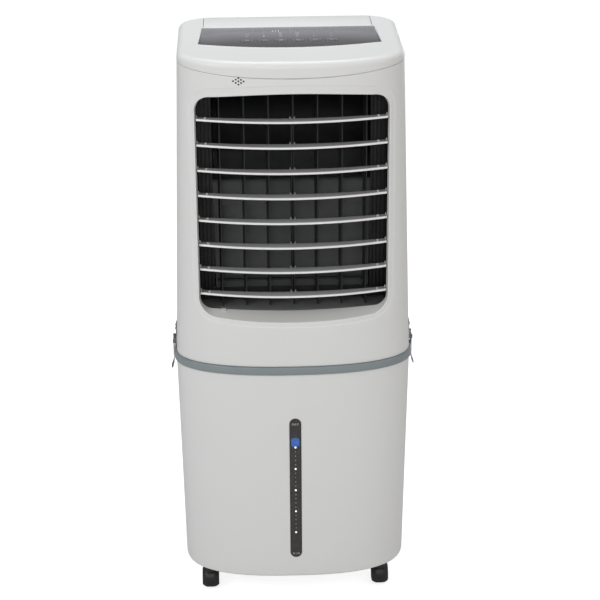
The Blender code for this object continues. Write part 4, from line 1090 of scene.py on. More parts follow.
def fill_key_holes(piece):
    for index in range(1, 7):
        outline = rounded_rectangle(KEY_HALF[0] + 0.0005, KEY_HALF[1] + 0.0005, 0.0065, 8, (key_x(index), KEY_Y))
        piece.prism(outline, "z", PANEL_TOP_Z - 0.020, PANEL_TOP_Z + 0.010, PANEL, radius=0)


def key_icon(piece, index, x, z):
    """A small generic pictogram on a key."""

    def bar(dx, dy, wide, tall):
        low, high = KEY_Y + dy - tall, KEY_Y + dy + tall
        piece.prism([(x + dx - wide, low), (x + dx + wide, low), (x + dx + wide, high), (x + dx - wide, high)], "z", *z, INK, radius=0)

    def curve(dx, dy, radius, start, end, thick=0.0006):
        centre = (x + dx, KEY_Y + dy)
        piece.prism(arc(centre, radius, start, end, 16) + arc(centre, radius - thick, end, start, 16), "z", *z, INK, radius=0)

    if index == 1:
        curve(0, 0, 0.0034, 120, 420)
        bar(0, 0.0026, 0.0003, 0.0022)
    elif index == 2:
        for k in range(3):
            curve(-0.0030 + 0.0030 * k, 0, 0.0026, -60, 60)
    elif index == 3:
        for k in range(3):
            bar(0, -0.0022 + 0.0022 * k, 0.0032, 0.0004)
    elif index == 4:
        curve(0, 0, 0.0034, 0, 359)
        bar(0, 0.0012, 0.0003, 0.0012)
        bar(0.0010, 0, 0.0010, 0.0003)
    elif index == 5:
        for angle in (90, 210, 330):
            a = math.radians(angle)
            curve(0.0020 * math.cos(a), 0.0020 * math.sin(a), 0.0018, angle - 100, angle + 100)
    else:
        bar(0, 0, 0.0034, 0.0004)
        bar(-0.0018, 0.0020, 0.0012, 0.0004)
        bar(0.0018, -0.0020, 0.0012, 0.0004)


def make_keys():
    for index in range(1, 7):
        x, top = key_x(index), PANEL_TOP_Z + 0.0005
        piece = Piece(f"key_{index}_cap", (x, KEY_Y, top))
        piece.prism(rounded_rectangle(*KEY_HALF, 0.006, 8, (x, KEY_Y)), "z", top - 0.0040, top, PANEL, radius=0.0007, steps=3)
        piece.lathe([(0, top - 0.014), (0.0018, top - 0.014), (0.0020, top - 0.003), (0, top - 0.003)], "z", (x, KEY_Y), BLACK, 16)
        z = (top - 0.0001, top + 0.00008)
        outer = rounded_rectangle(KEY_HALF[0] - 0.0010, KEY_HALF[1] - 0.0010, 0.0050, 8, (x, KEY_Y))
        inner = rounded_rectangle(KEY_HALF[0] - 0.0016, KEY_HALF[1] - 0.0016, 0.0044, 8, (x, KEY_Y))
        rows = [[(a, b, h) for a, b in ring] for ring, h in ((outer, z[0]), (outer, z[1]), (inner, z[1]), (inner, z[0]))]
        piece.grid(rows, INK_DIM, wrap=True, loop=True)
        key_icon(piece, index, x, z)
        piece.done(f"key_{index}", replaces=[f"key_{index}"])


def make_lid():
    """Filling flap with a finger scoop, a stiffening rim below and its hinge barrel."""
    y, z = LID_AXIS
    piece = Piece("lid_flap", (0.0, y, z))
    piece.box((-LID_HALF, LID_HALF), (LID_FRONT_Y, y), (TOP_Z - 0.003, TOP_Z), WHITE, radius=0.0009, steps=3)
    piece.lathe([(0, -LID_HALF), (0.0022, -LID_HALF), (0.0022, LID_HALF), (0, LID_HALF)], "x", (y, z), WHITE, 32)
    piece.lathe([(0, -LID_HALF - 0.004), (0.0010, -LID_HALF - 0.004), (0.0010, LID_HALF + 0.004), (0, LID_HALF + 0.004)], "x", (y, z), STEEL, 20)
    piece.box((-LID_HALF + 0.006, LID_HALF - 0.006), (LID_FRONT_Y + 0.003, LID_FRONT_Y + 0.005), (TOP_Z - 0.007, TOP_Z - 0.0025), WHITE_INNER)
    for k in range(-3, 4):
        piece.box((k * 0.045 - 0.0006, k * 0.045 + 0.0006), (LID_FRONT_Y + 0.006, y - 0.006), (TOP_Z - 0.0050, TOP_Z - 0.0025), WHITE_INNER, radius=0.0003)
    lid = piece.done("top_lid", replaces=["top_lid"])

    def scoop(cutter):
        cutter.prism([(LID_FRONT_Y - 0.002, TOP_Z + 0.0010), (LID_FRONT_Y + 0.009, TOP_Z + 0.0010), (LID_FRONT_Y - 0.002, TOP_Z - 0.0016)], "x", -0.022, 0.022, WHITE, radius=0)

    carve(lid, scratch(scoop))


# ---------------------------------------------------------------- outlet: louvres, vanes and their links
LOUVRE_COUNT, VANE_COUNT = 8, 7
LOUVRE_HALF = 0.1767
LOUVRE_NOSE_Y, LOUVRE_SAG, LOUVRE_CHORD = -0.1586, 0.02815, 0.028


def louvre_section(x, axis_y):
    """(y, z) from the pivot, going round the blade: rounded nose, shallow crown, thin tail."""
    share = (x / LOUVRE_HALF) ** 2
    nose = LOUVRE_NOSE_Y + LOUVRE_SAG * share - axis_y
    tail = LOUVRE_NOSE_Y + LOUVRE_CHORD + 0.0195 * share - axis_y
    radius = 0.0021
    upper = [(nose + radius * (1 - math.cos(a)), radius * math.sin(a)) for a in (math.radians(d) for d in range(0, 91, 15))]
    upper += [(nose + 0.0036, 0.0020), (nose + 0.0050, 0.00165)]
    upper += [(mixed(nose + 0.0050, tail, share_y), 0.00155 - 0.0007 * share_y) for share_y in (0.3, 0.6, 0.9)]
    upper.append((tail, 0.0004))
    return upper + [(y, -z) for y, z in reversed(upper[1:])]


def make_louvre(index):
    place = joint_place(f"louvre_{index}_tilt")
    piece = Piece(f"louvre_{index}_blade", place)
    stations = 48
    columns = []
    for i in range(stations + 1):
        x = LOUVRE_HALF * (2 * i / stations - 1)
        columns.append([(x, place.y + y, place.z + z) for y, z in louvre_section(x, place.y)])
    bm = bmesh.new()
    made = [[bm.verts.new(point) for point in column] for column in columns]
    bridge(bm, made, True)
    bm.faces.new(made[0])
    bm.faces.new(reversed(made[-1]))
    bmesh.ops.recalc_face_normals(bm, faces=bm.faces)
    grey, white = piece.index(LOUVRE), piece.index(LOUVRE_NOSE)
    for face in bm.faces:
        centre = face.calc_center_median()
        nose = LOUVRE_NOSE_Y + LOUVRE_SAG * (centre.x / LOUVRE_HALF) ** 2
        face.material_index = white if centre.y < nose + 0.0044 and len(face.verts) == 4 else grey
        face.smooth = True
    mesh = bpy.data.meshes.new("scratch")
    bm.to_mesh(mesh)
    bm.free()
    piece.bm.from_mesh(mesh)
    bpy.data.meshes.remove(mesh)
    for side in (-1, 1):
        end = side * LOUVRE_HALF
        profile = [(0, end - side * 0.0022), (0.0036, end - side * 0.0022), (0.0042, end - side * 0.0016), (0.0042, end), (0, end + side * 0.0003)]
        piece.lathe(profile, "x", (place.y, place.z), PALE_BOSS, 28)
        piece.lathe([(0.0018, end), (0.0018, side * 0.1835), (0, side * 0.1835)], "x", (place.y, place.z), BLACK, 16)
        boss_x, boss_y = side * (LOUVRE_HALF - 0.017), place.y - 0.0120
        profile = [(0.0026, place.z + 0.0008), (0.0024, place.z + 0.0030), (0.0016, place.z + 0.0038), (0, place.z + 0.0038)]
        piece.lathe(profile, "z", (boss_x, boss_y), PALE_BOSS, 20)
        lug_x = sorted((side * 0.0036, side * 0.0052))
        link = joint_place("louvre_link_rod_pin").y
        piece.box(lug_x, (link - 0.009, link + 0.0025), (place.z - 0.0024, place.z + 0.0024), LOUVRE, radius=0.0005)
    piece.lathe([(0, -0.0054), (0.0011, -0.0052), (0.0011, 0.0052), (0, 0.0054)], "x", (joint_place("louvre_link_rod_pin").y, place.z), STEEL, 16)
    piece.done(f"louvre_{index}", replaces=[f"louvre_{index}"])


def make_louvre_link():
    """The rod that ties the louvres: an I-shaped strip with a boss round every pin."""
    low, high = node_box("louvre_link_rod")
    place = joint_place("louvre_link_rod_pin")
    piece = Piece("louvre_link_strip", place)
    piece.box((-0.0012, 0.0012), (low.y, high.y), (low.z, high.z), BLACK, radius=0.0004)
    for edge in (low.y, high.y - 0.0010):
        piece.box((-0.0026, 0.0026), (edge, edge + 0.0010), (low.z, high.z), BLACK, radius=0.0003)
    for index in range(1, LOUVRE_COUNT + 1):
        z = joint_place(f"louvre_{index}_tilt").z
        piece.lathe([(0.0013, -0.0029), (0.0027, -0.0029), (0.0027, 0.0029), (0.0013, 0.0029), (0.0013, -0.0029)], "x", (place.y, z), BLACK_HIGHLIGHT, 20)
    piece.done("louvre_link_rod", replaces=["louvre_link_rod"])


def make_vane(index):
    """A vertical blade with a beaded front edge, ribs across it and pins above and below."""
    place = joint_place(f"vane_{index}_swing")
    low, high = node_box(f"vane_{index}")
    z0, z1 = node_box("outlet_frame")[0].z + 0.0060, node_box("outlet_frame")[1].z - 0.0060
    bar = node_box("vane_link_bar")
    link_z = (bar[0].z + bar[1].z) / 2
    turn = Matrix.Rotation(math.radians(8), 4, "Z")
    piece = Piece(f"vane_{index}_blade", place)
    base = Vector((place.x, place.y, 0.0))

    def at(x, y, z):
        return base + turn @ Vector((x, y, z))

    section = [(-0.0007, 0.0138), (0.0007, 0.0138), (0.0008, 0.0), (0.0008, -0.0166)]
    section += [(0.0014 * math.cos(a), -0.0182 - 0.0016 * math.sin(a)) for a in (math.radians(d) for d in range(0, 181, 20))]
    section += [(-0.0008, -0.0166), (-0.0008, 0.0)]
    notched = [(x, min(y, 0.0090)) for x, y in section]
    levels = [(z0, section), (link_z - 0.0081, section), (link_z - 0.0080, notched), (link_z + 0.0060, notched), (link_z + 0.0061, section), (z1, section)]
    rows = [[at(x, y, z) for x, y in outline] for z, outline in levels]
    piece.grid(rows, VANE_BLACK, wrap=True, caps=(True, True))
    # The front bead's lighter grey is a painted highlight along the edge.
    piece.tube([at(0.0, -0.0186, z0 + 0.002), at(0.0, -0.0186, 0.84), at(0.0, -0.0186, z1 - 0.002)], 0.0010, VANE_EDGE_HIGHLIGHT, 10)
    for z in np.linspace(z0 + 0.05, z1 - 0.05, 5):
        for side in (-1, 1):
            points = [at(side * 0.0006, -0.014, z), at(side * 0.0006, 0.010, z)]
            piece.tube(points, 0.0005, BLACK, 6)
    for bottom, top in ((low.z, z0 + 0.001), (z1 - 0.001, high.z)):
        piece.lathe([(0, bottom), (0.0017, bottom), (0.0017, top), (0, top)], "z", (place.x, place.y), PALE_BOSS, 16)
    collar = [(0.0017, z1 - 0.004), (0.0030, z1 - 0.004), (0.0030, z1 + 0.0008), (0.0017, z1 + 0.0008)]
    piece.lathe(collar, "z", (place.x, place.y), PALE_BOSS, 20)
    arm = node_box("vane_link_bar")[0].y - place.y + 0.003
    tab = Matrix.Translation((0, 0, 0)) @ turn
    centre = turn @ Vector((0.0, (0.0070 + 0.0182) / 2, 0.0))
    x0, y0 = base.x + centre.x, base.y + centre.y
    piece.box((x0 - 0.002, x0 + 0.002), (y0 - 0.0056, y0 + 0.0056), (link_z - 0.005, link_z - 0.002), DUCT, turn=tab, radius=0.0004)
    stub = turn @ Vector((0.0, 0.016, 0.0))
    piece.lathe([(0, link_z - 0.003), (0.0012, link_z - 0.003), (0.0012, link_z + 0.003), (0, link_z + 0.003)], "z", (base.x + stub.x, base.y + stub.y), DUCT, 16)
    piece.done(f"vane_{index}", replaces=[f"vane_{index}"])


def make_outlet_details():
    """Ribs and bearing strips on the outlet frame, and the foot lug at its lower left."""
    low, high = node_box("outlet_frame")
    piece = Piece("frame_ribs")
    back = high.y - 0.0016
    for side in (-1, 1):
        for x in (0.1545, 0.1615, 0.1685, 0.1755):
            piece.box(sorted((side * x, side * (x + 0.0012))), (back - 0.0050, back), (low.z + 0.012, high.z - 0.012), BLACK, radius=0.0004)
    floor = low.z + 0.0043
    # The plate's lighter grey is painted light on an up-facing face.
    piece.box((low.x + 0.006, high.x - 0.006), (low.y + 0.001, high.y - 0.002), (floor, floor + 0.0009), SHELF_PAINTED_LIGHT, radius=0.0002)
    for index in range(1, LOUVRE_COUNT + 1):
        place = joint_place(f"louvre_{index}_tilt")
        for side in (-1, 1):
            ring = [(0.0026, side * 0.1798), (0.0046, side * 0.1798), (0.0046, side * 0.1785), (0.0026, side * 0.1785)]
            piece.lathe(ring, "x", (place.y, place.z), BLACK_HIGHLIGHT, 24)
    for index in range(1, VANE_COUNT + 1):
        place = joint_place(f"vane_{index}_swing")
        z = high.z - 0.0045
        ring = [(0.0024, z + 0.0002), (0.0048, z + 0.0002), (0.0044, z - 0.0008), (0.0024, z - 0.0008)]
        piece.lathe(ring, "z", (place.x, place.y), BLACK_HIGHLIGHT, 24)
    piece.done()
    lug = Piece("outlet_lug")
    lug.box((-0.1390, -0.1290), (-0.1300, -0.1250), (0.6240, 0.6310), PALE_BOSS, radius=0.0012)
    lug.done()


# ---------------------------------------------------------------- blower
BLOWER_AXIS = joint_place("blower_wheel_spin")
BLOWER_HALF = 0.150
MOUTH_Z = (0.8640, 1.0600)


def volute_outline(grow):
    start, end, r_start, r_end = 168, 360, 0.0870, 0.0925
    points = []
    steps = 64
    for i in range(steps + 1):
        a = math.radians(mixed(start, end, i / steps))
        radius = mixed(r_start, r_end, i / steps) + grow
        points.append((BLOWER_AXIS.y + radius * math.cos(a), BLOWER_AXIS.z + radius * math.sin(a)))
    rear_y, roof_z = BLOWER_AXIS.y + r_end + grow, MOUTH_Z[1] + grow
    outlet_y = node_box("blower_housing")[0].y
    bend = 0.130 + grow
    points += arc((rear_y - bend, roof_z - bend), bend, 0, 90, 24)
    return points + [(outlet_y, roof_z)], (outlet_y, MOUTH_Z[0] - grow)


def make_blower_housing():
    """Scroll casing with ringed inlets and stiffening ribs on its curved face."""
    shell = 0.0025
    outer, outer_end = volute_outline(shell)
    inner, inner_end = volute_outline(0.0)
    half = BLOWER_HALF
    piece = Piece("scroll_casing")
    piece.prism(outer + [outer_end], "x", -half - shell, half + shell, SCROLL, radius=0.0012)
    casing = piece.done(replaces=["blower_housing"], angle=30)

    def hollow(cutter):
        cutter.prism(inner + [inner_end], "x", -half, half, SCROLL, radius=0)

    def mouth(cutter):
        y = inner_end[0]
        cutter.box((-half, half), (y - 0.010, y + 0.004), MOUTH_Z, SCROLL, radius=0.0002)

    def inlets(cutter):
        cutter.prism(arc((BLOWER_AXIS.y, BLOWER_AXIS.z), 0.062, 0, 356, 89), "x", -0.2, 0.2, SCROLL, radius=0)

    carve(casing, scratch(hollow), scratch(mouth), scratch(inlets))
    soften(casing, 0.0006)
    trim = Piece("scroll_trim")
    for side in (-1, 1):
        face = side * (half + shell)
        ring = [(0.0620, face - side * 0.006), (0.0620, face), (0.0640, face + side * 0.0022), (0.0680, face + side * 0.0010), (0.0690, face)]
        trim.lathe(ring, "x", (BLOWER_AXIS.y, BLOWER_AXIS.z), DUCT, 96)
        for angle in (30, 90, 150, 210, 270, 330):
            a = math.radians(angle)
            y, z = BLOWER_AXIS.y + 0.083 * math.cos(a), BLOWER_AXIS.z + 0.083 * math.sin(a)
            trim.screw((y, z, face - side * 0.0002), "x", side, radius=0.0028)
        foot = sorted((side * 0.090, side * 0.110))
        trim.box(foot, (0.025, 0.060), (0.5317, BLOWER_AXIS.z - 0.0900), DUCT, radius=0.0015)
    trim.prism([(-0.0520, 0.8650), (-0.0540, 0.8630), (-0.0060, 0.8090), (-0.0040, 0.8110)], "x", -half, half, DUCT)
    skirt_y = outer_end[0] + 0.0020
    profile = [(skirt_y, 0.6400), (skirt_y, 0.8000), (skirt_y + 0.0030, 0.8300), (skirt_y + 0.0045, 0.8300)]
    profile += [(skirt_y + 0.0016, 0.7990), (skirt_y + 0.0016, 0.6400)]
    trim.prism(profile, "x", -half + 0.002, half - 0.002, DUCT, radius=0.0004)
    trim.done()


def make_blower_wheel():
    """Double-inlet drum: forward-curved blades between two rims and a centre disc."""
    place = BLOWER_AXIS
    piece = Piece("wheel_drum", place)
    half, outer, inner = 0.118, 0.080, 0.0640
    blade = [(inner, -0.0040), (0.0700, -0.0022), (0.0760, 0.0008), (outer - 0.0012, 0.0048)]
    count = 36
    bm = bmesh.new()
    for k in range(count):
        turn = Matrix.Rotation(2 * math.pi * k / count, 2)
        front = [turn @ Vector(point) for point in blade]
        back = [turn @ (Vector(point) + Vector((0.0004, 0.0009))) for point in reversed(blade)]
        loop = front + back
        rows = [[bm.verts.new((x, place.y + p.x, place.z + p.y)) for p in loop] for x in (-half + 0.003, half - 0.003)]
        bridge(bm, rows, True)
        bm.faces.new(rows[0])
        bm.faces.new(reversed(rows[1]))
    piece.take(bm, BLACK)
    centre = (place.y, place.z)
    piece.lathe([(0, -0.0015), (outer, -0.0015), (outer, 0.0015), (0, 0.0015)], "x", centre, BLACK, 72)
    for side in (-1, 1):
        end, start = side * half, side * (half - 0.006)
        rim = [(inner, start), (outer, start), (outer, end - side * 0.001), (outer - 0.001, end), (inner + 0.001, end), (inner, end - side * 0.001), (inner, start)]
        piece.lathe(rim, "x", centre, BLACK, 72)
    piece.lathe([(0, -0.012), (0.011, -0.012), (0.012, -0.011), (0.012, 0.011), (0.011, 0.012), (0, 0.012)], "x", centre, BLACK_HIGHLIGHT, 40)
    piece.lathe([(0, 0.010), (0.0040, 0.010), (0.0040, 0.1115), (0.0035, 0.112), (0, 0.112)], "x", centre, STEEL, 28)
    piece.done("blower_wheel", replaces=["blower_wheel"])


# ---------------------------------------------------------------- water side and back
def make_pad():
    """Cellulose pad: glued corrugated sheets that leave slanting flutes."""
    low, high = node_box("cooling_pad")
    pitch, tall = 0.0100, 0.0072
    piece = Piece("pad_sheets")
    columns = int((high.x - low.x) / pitch) * 4
    rows = int((high.z - low.z) / tall)
    for row in range(rows):
        base = low.z + tall * (row + 0.5)
        shift = 0.5 * (row % 2)
        sections = []
        for i in range(columns + 1):
            x = mixed(low.x + 0.0015, high.x - 0.0015, i / columns)
            z = base + 0.0032 * math.sin(2 * math.pi * ((x - low.x) / pitch + shift))
            front, back, thick = low.y + 0.0005, high.y - 0.0005, 0.0003
            sections.append([(x, front, z + thick), (x, back, z + thick), (x, back, z - thick), (x, front, z - thick)])
        piece.grid(sections, PAPER, wrap=True, caps=(True, True))
    for side in (low.x, high.x - 0.0010):
        piece.box((side, side + 0.0010), (low.y, high.y), (low.z, high.z), PAPER, radius=0.0002)
    piece.done(replaces=["cooling_pad"])


def filter_mesh():
    """Black nylon net: fine crossed threads with clear gaps."""
    made = Finish("filter_net", (0.018, 0.018, 0.019), 0.5)
    threads = [made.spread(made.sine(made.axis(k), 0.0022), 0.72, 0.80, 0.0, 1.0) for k in (0, 2)]
    both = made.add("ShaderNodeMath", operation="MAXIMUM")
    for k in range(2):
        made.link(threads[k], both.inputs[k])
    made.link(both.outputs[0], made.shader.inputs["Alpha"])
    made.bump(both.outputs[0], 0.0002, 0.5)
    return made.material


def make_grille():
    """Rear intake cover: rounded rim, slats with a downward lean, middle post, net and two finger pulls."""
    low, high = node_box("rear_grille")
    piece = Piece("grille_cover")
    y0, y1 = low.y, high.y
    half = high.x
    tall, centre = (high.z - low.z) / 2, (0.0, (high.z + low.z) / 2)
    rim = []
    for edge, y in ((0.014, y1 - 0.0045), (0.014, y1 - 0.0010), (0.0130, y1), (0.0010, y1), (0, y1 - 0.0010), (0, y0), (0.004, y0), (0.004, y1 - 0.0045)):
        ring = rounded_rectangle(half - edge, tall - edge, 0.0025, 4, centre)
        rim.append([(x, y, z) for x, z in ring])
    piece.grid(rim, WHITE, wrap=True, loop=True)
    piece.box((-0.007, 0.007), (y1 - 0.0048, y1 - 0.0003), (low.z + 0.0125, high.z - 0.0125), WHITE, radius=0.0012)
    rows, slot, margin = 15, 0.0175, 0.014
    pitch = (high.z - low.z - 2 * margin - slot) / (rows - 1)
    lean = Matrix.Rotation(math.radians(18), 4, "X")
    for row in range(rows - 1):
        top = low.z + margin + (row + 1) * pitch
        bottom = top - pitch + slot
        middle = (top + bottom) / 2
        reach = (top - bottom) / 2
        piece.box((-half + 0.012, half - 0.012), (y1 - 0.0052, y1 - 0.0014), (middle - reach - 0.0008, middle + reach), WHITE, radius=0.0012, turn=lean)
    for side in (-1, 1):
        piece.box((side * 0.145 - 0.006, side * 0.145 + 0.006), (y1 - 0.004, y1 - 0.0002), (high.z - 0.024, high.z - 0.0135), WHITE, radius=0.0012)
    piece.done("rear_grille", replaces=["rear_grille"])
    net = Piece("grille_net")
    net.box((-half + 0.0045, half - 0.0045), (y1 - 0.0095, y1 - 0.0090), (low.z + 0.005, high.z - 0.005), filter_mesh(), radius=0.0001)
    for x in np.linspace(-half + 0.010, half - 0.010, 5):
        net.box((x - 0.0012, x + 0.0012), (y1 - 0.0092, y1 - 0.0076), (low.z + 0.005, high.z - 0.005), BLACK, radius=0.0004)
    for z in np.linspace(low.z + 0.010, high.z - 0.010, 7):
        net.box((-half + 0.006, half - 0.006), (y1 - 0.0092, y1 - 0.0076), (z - 0.0012, z + 0.0012), BLACK, radius=0.0004)
    net.done("rear_grille")


def make_pump():
    low, high = node_box("water_pump")
    body_top = low.z + 0.052
    centre = ((low.x + high.x) / 2, (low.y + high.y) / 2)
    piece = Piece("pump_body")
    piece.prism(rounded_rectangle(0.0275, 0.0245, 0.008, 8, centre), "z", low.z, body_top - 0.006, BLACK, radius=0.001)
    piece.prism(rounded_rectangle(0.0250, 0.0220, 0.007, 8, centre), "z", body_top - 0.008, body_top, BLACK_HIGHLIGHT, radius=0.002)
    piece.lathe([(0.0045, body_top - 0.002), (0.0045, high.z), (0.0030, high.z), (0.0030, body_top - 0.002)], "z", centre, BLACK, 32)
    for k in range(-4, 5):
        x = centre[0] + k * 0.0050
        piece.box((x - 0.0010, x + 0.0010), (low.y, low.y + 0.0020), (low.z + 0.006, low.z + 0.030), BLACK_HIGHLIGHT, radius=0.0004)
    piece.done(replaces=["water_pump"])


def make_hose_and_cord():
    low, high = node_box("pump_hose")
    riser = (0.186, 0.118)
    piece = Piece("riser_hose")
    path = [(0.100, 0.095, low.z), (0.104, 0.096, 0.240), (0.165, 0.112, 0.400), (*riser, 0.500), (*riser, 0.740)]
    path += [(*riser, 0.980), (riser[0], 0.132, 1.036), (high.x - 0.0250, 0.1520, 1.0470)]
    piece.tube(path, 0.0049, HOSE, 20)
    piece.done(replaces=["pump_hose"])
    y = BACK_Y + 0.014
    cord = Piece("mains_cord")
    path = [(-0.150, 0.168, 0.560), (-0.150, y - 0.004, 0.558), (-0.150, y, 0.500), (-0.125, y, 0.380), (-0.085, y, 0.380)]
    path += [(-0.080, y, 0.520), (-0.0765, y, 0.5555), (-0.060, y, 0.5625), (-0.0435, y, 0.5555), (-0.040, y, 0.470)]
    cord.tube(path, 0.0032, CORD, 16)
    cord.lathe([(0.0034, BACK_Y - 0.001), (0.0060, BACK_Y - 0.001), (0.0060, BACK_Y + 0.0015), (0.0046, BACK_Y + 0.0050), (0.0034, BACK_Y + 0.0050)], "y", (-0.150, 0.5585), RUBBER, 28)
    for k in range(4):
        z = 0.474 + 0.003 * k
        cord.lathe([(0.0033, z), (0.0050 - 0.0003 * k, z + 0.0004), (0.0050 - 0.0003 * k, z + 0.0016), (0.0033, z + 0.0020)], "z", (-0.040, y), CORD, 24)
    cord.box((-0.050, -0.030), (y - 0.010, y + 0.006), (0.432, 0.474), CORD, radius=0.0035, steps=4)
    cord.box((-0.046, -0.034), (y - 0.0108, y - 0.0090), (0.440, 0.464), CORD, radius=0.0008)
    for x in (-0.0465, -0.0335):
        profile = [(0, 0.414), (0.0014, 0.4142), (0.0020, 0.4160), (0.0020, 0.436), (0, 0.436)]
        cord.lathe(profile, "z", (x, y - 0.002), BRASS, 20)
    cord.done(replaces=["power_cord"])


def make_drain():
    low, high = node_box("drain_plug")
    place = (low + high) / 2
    centre = (place.x, place.z)
    y = BACK_Y
    piece = Piece("drain_bung", (place.x, y, place.z))
    piece.lathe([(0, y - 0.0085), (0.0085, y - 0.0085), (0.0098, y - 0.0070), (0.0098, y + 0.0005), (0, y + 0.0005)], "y", centre, RUBBER, 48)
    head = [(0, y + 0.0003), (0.0135, y + 0.0003), (0.0140, y + 0.0010), (0.0138, y + 0.0040), (0.0128, y + 0.0050), (0.0105, y + 0.0050), (0.0095, y + 0.0044), (0, y + 0.0044)]
    piece.lathe(head, "y", centre, RUBBER, 48)
    piece.box((place.x - 0.002, place.x + 0.002), (y + 0.002, y + 0.012), (place.z - 0.008, place.z + 0.008), RUBBER, radius=0.0012)
    piece.done("drain_plug", replaces=["drain_plug"])
    collar = Piece("drain_collar")
    collar.lathe([(0.0145, y - 0.0006), (0.0180, y - 0.0006), (0.0176, y + 0.0012), (0.0150, y + 0.0012), (0.0145, y - 0.0006)], "y", centre, WHITE, 56)
    collar.done()


def make_window():
    """Smoked strip with level marks, and a dark channel behind it."""
    piece = Piece("window_strip")
    outline = stadium(WINDOW_HALF - 0.0001, WINDOW_Z, -0.0001)
    piece.prism(outline, "y", FRONT_Y - 0.0005, FRONT_Y + 0.0030, WINDOW, radius=0.0004)
    for side in (-1, 1):
        x = sorted((side * 0.0090, side * 0.0108))
        piece.box(x, (FRONT_Y + 0.002, FRONT_Y + 0.022), (WINDOW_Z[0] + 0.012, WINDOW_Z[1] - 0.012), CHANNEL, radius=0.0003)
    piece.box((-0.0108, 0.0108), (FRONT_Y + 0.0215, FRONT_Y + 0.0225), (WINDOW_Z[0] + 0.012, WINDOW_Z[1] - 0.012), CHANNEL, radius=0.0002)
    piece.done(replaces=["level_window"], angle=30)
    marks = Piece("level_marks")
    face = (FRONT_Y - 0.00062, FRONT_Y - 0.00045)
    majors = (0.3527, 0.3057, 0.2587, 0.2117, 0.1647)
    for z in majors:
        # The major level marks are print: their glow is painted light.
        marks.prism(arc((0.0, z), 0.0019, 0, 340, 17), "y", *face, LAMP_WHITE_AND_PAINTED_GLOW, radius=0)
        if z != majors[-1]:
            for k in range(1, 5):
                marks.prism(arc((0.0, z - 0.0094 * k), 0.0008, 0, 330, 11), "y", *face, INK, radius=0)
    draw_word(marks, "MAX", WINDOW_Z[1] - 0.0125, face)
    draw_word(marks, "MIN", WINDOW_Z[0] + 0.0085, face)
    marks.done()


STROKES = {
    "M": [((0, 0), (0, 1)), ((0, 1), (0.5, 0.4)), ((0.5, 0.4), (1, 1)), ((1, 1), (1, 0))],
    "A": [((0, 0), (0.5, 1)), ((0.5, 1), (1, 0)), ((0.2, 0.35), (0.8, 0.35))],
    "X": [((0, 0), (1, 1)), ((0, 1), (1, 0))],
    "I": [((0.5, 0), (0.5, 1))],
    "N": [((0, 0), (0, 1)), ((0, 1), (1, 0)), ((1, 0), (1, 1))],
}


def draw_word(piece, word, z, face):
    """Level words in thin strokes, centred on the strip."""
    wide, tall, step, pen = 0.0030, 0.0042, 0.0046, 0.0003
    left = -0.5 * (step * (len(word) - 1) + wide)
    for index, letter in enumerate(word):
        for start, end in STROKES[letter]:
            a = Vector((left + index * step + wide * start[0], z + tall * (start[1] - 0.5)))
            b = Vector((left + index * step + wide * end[0], z + tall * (end[1] - 0.5)))
            side = (b - a).normalized().orthogonal() * pen
            piece.prism([a - side, b - side, b + side, a + side], "y", *face, INK, radius=0)


def make_float():
    place = node_box("level_float")
    centre = (place[0] + place[1]) / 2
    piece = Piece("float_body", centre)
    z0, z1 = place[0].z, place[1].z
    profile = [(0, z0), (0.0066, z0), (0.0078, z0 + 0.0012), (0.0078, z1 - 0.0012), (0.0066, z1), (0, z1)]
    # Blue float; its glow is painted light.
    piece.lathe(profile, "z", (centre.x, centre.y), FLOAT_BLUE_PAINTED_GLOW, 40)
    piece.lathe([(0.0079, centre.z - 0.0006), (0.0080, centre.z), (0.0079, centre.z + 0.0006)], "z", (centre.x, centre.y), FLOAT_BLUE_PAINTED_GLOW, 40)
    # The glowing white cap on the float's front is a painted highlight.
    piece.lathe([(0, place[0].y - 0.0002), (0.0012, place[0].y - 0.0001), (0.0014, place[0].y + 0.0006)], "y", (centre.x, centre.z - 0.001), LAMP_WHITE_AND_PAINTED_GLOW, 20)
    piece.done("level_float", replaces=["level_float"])


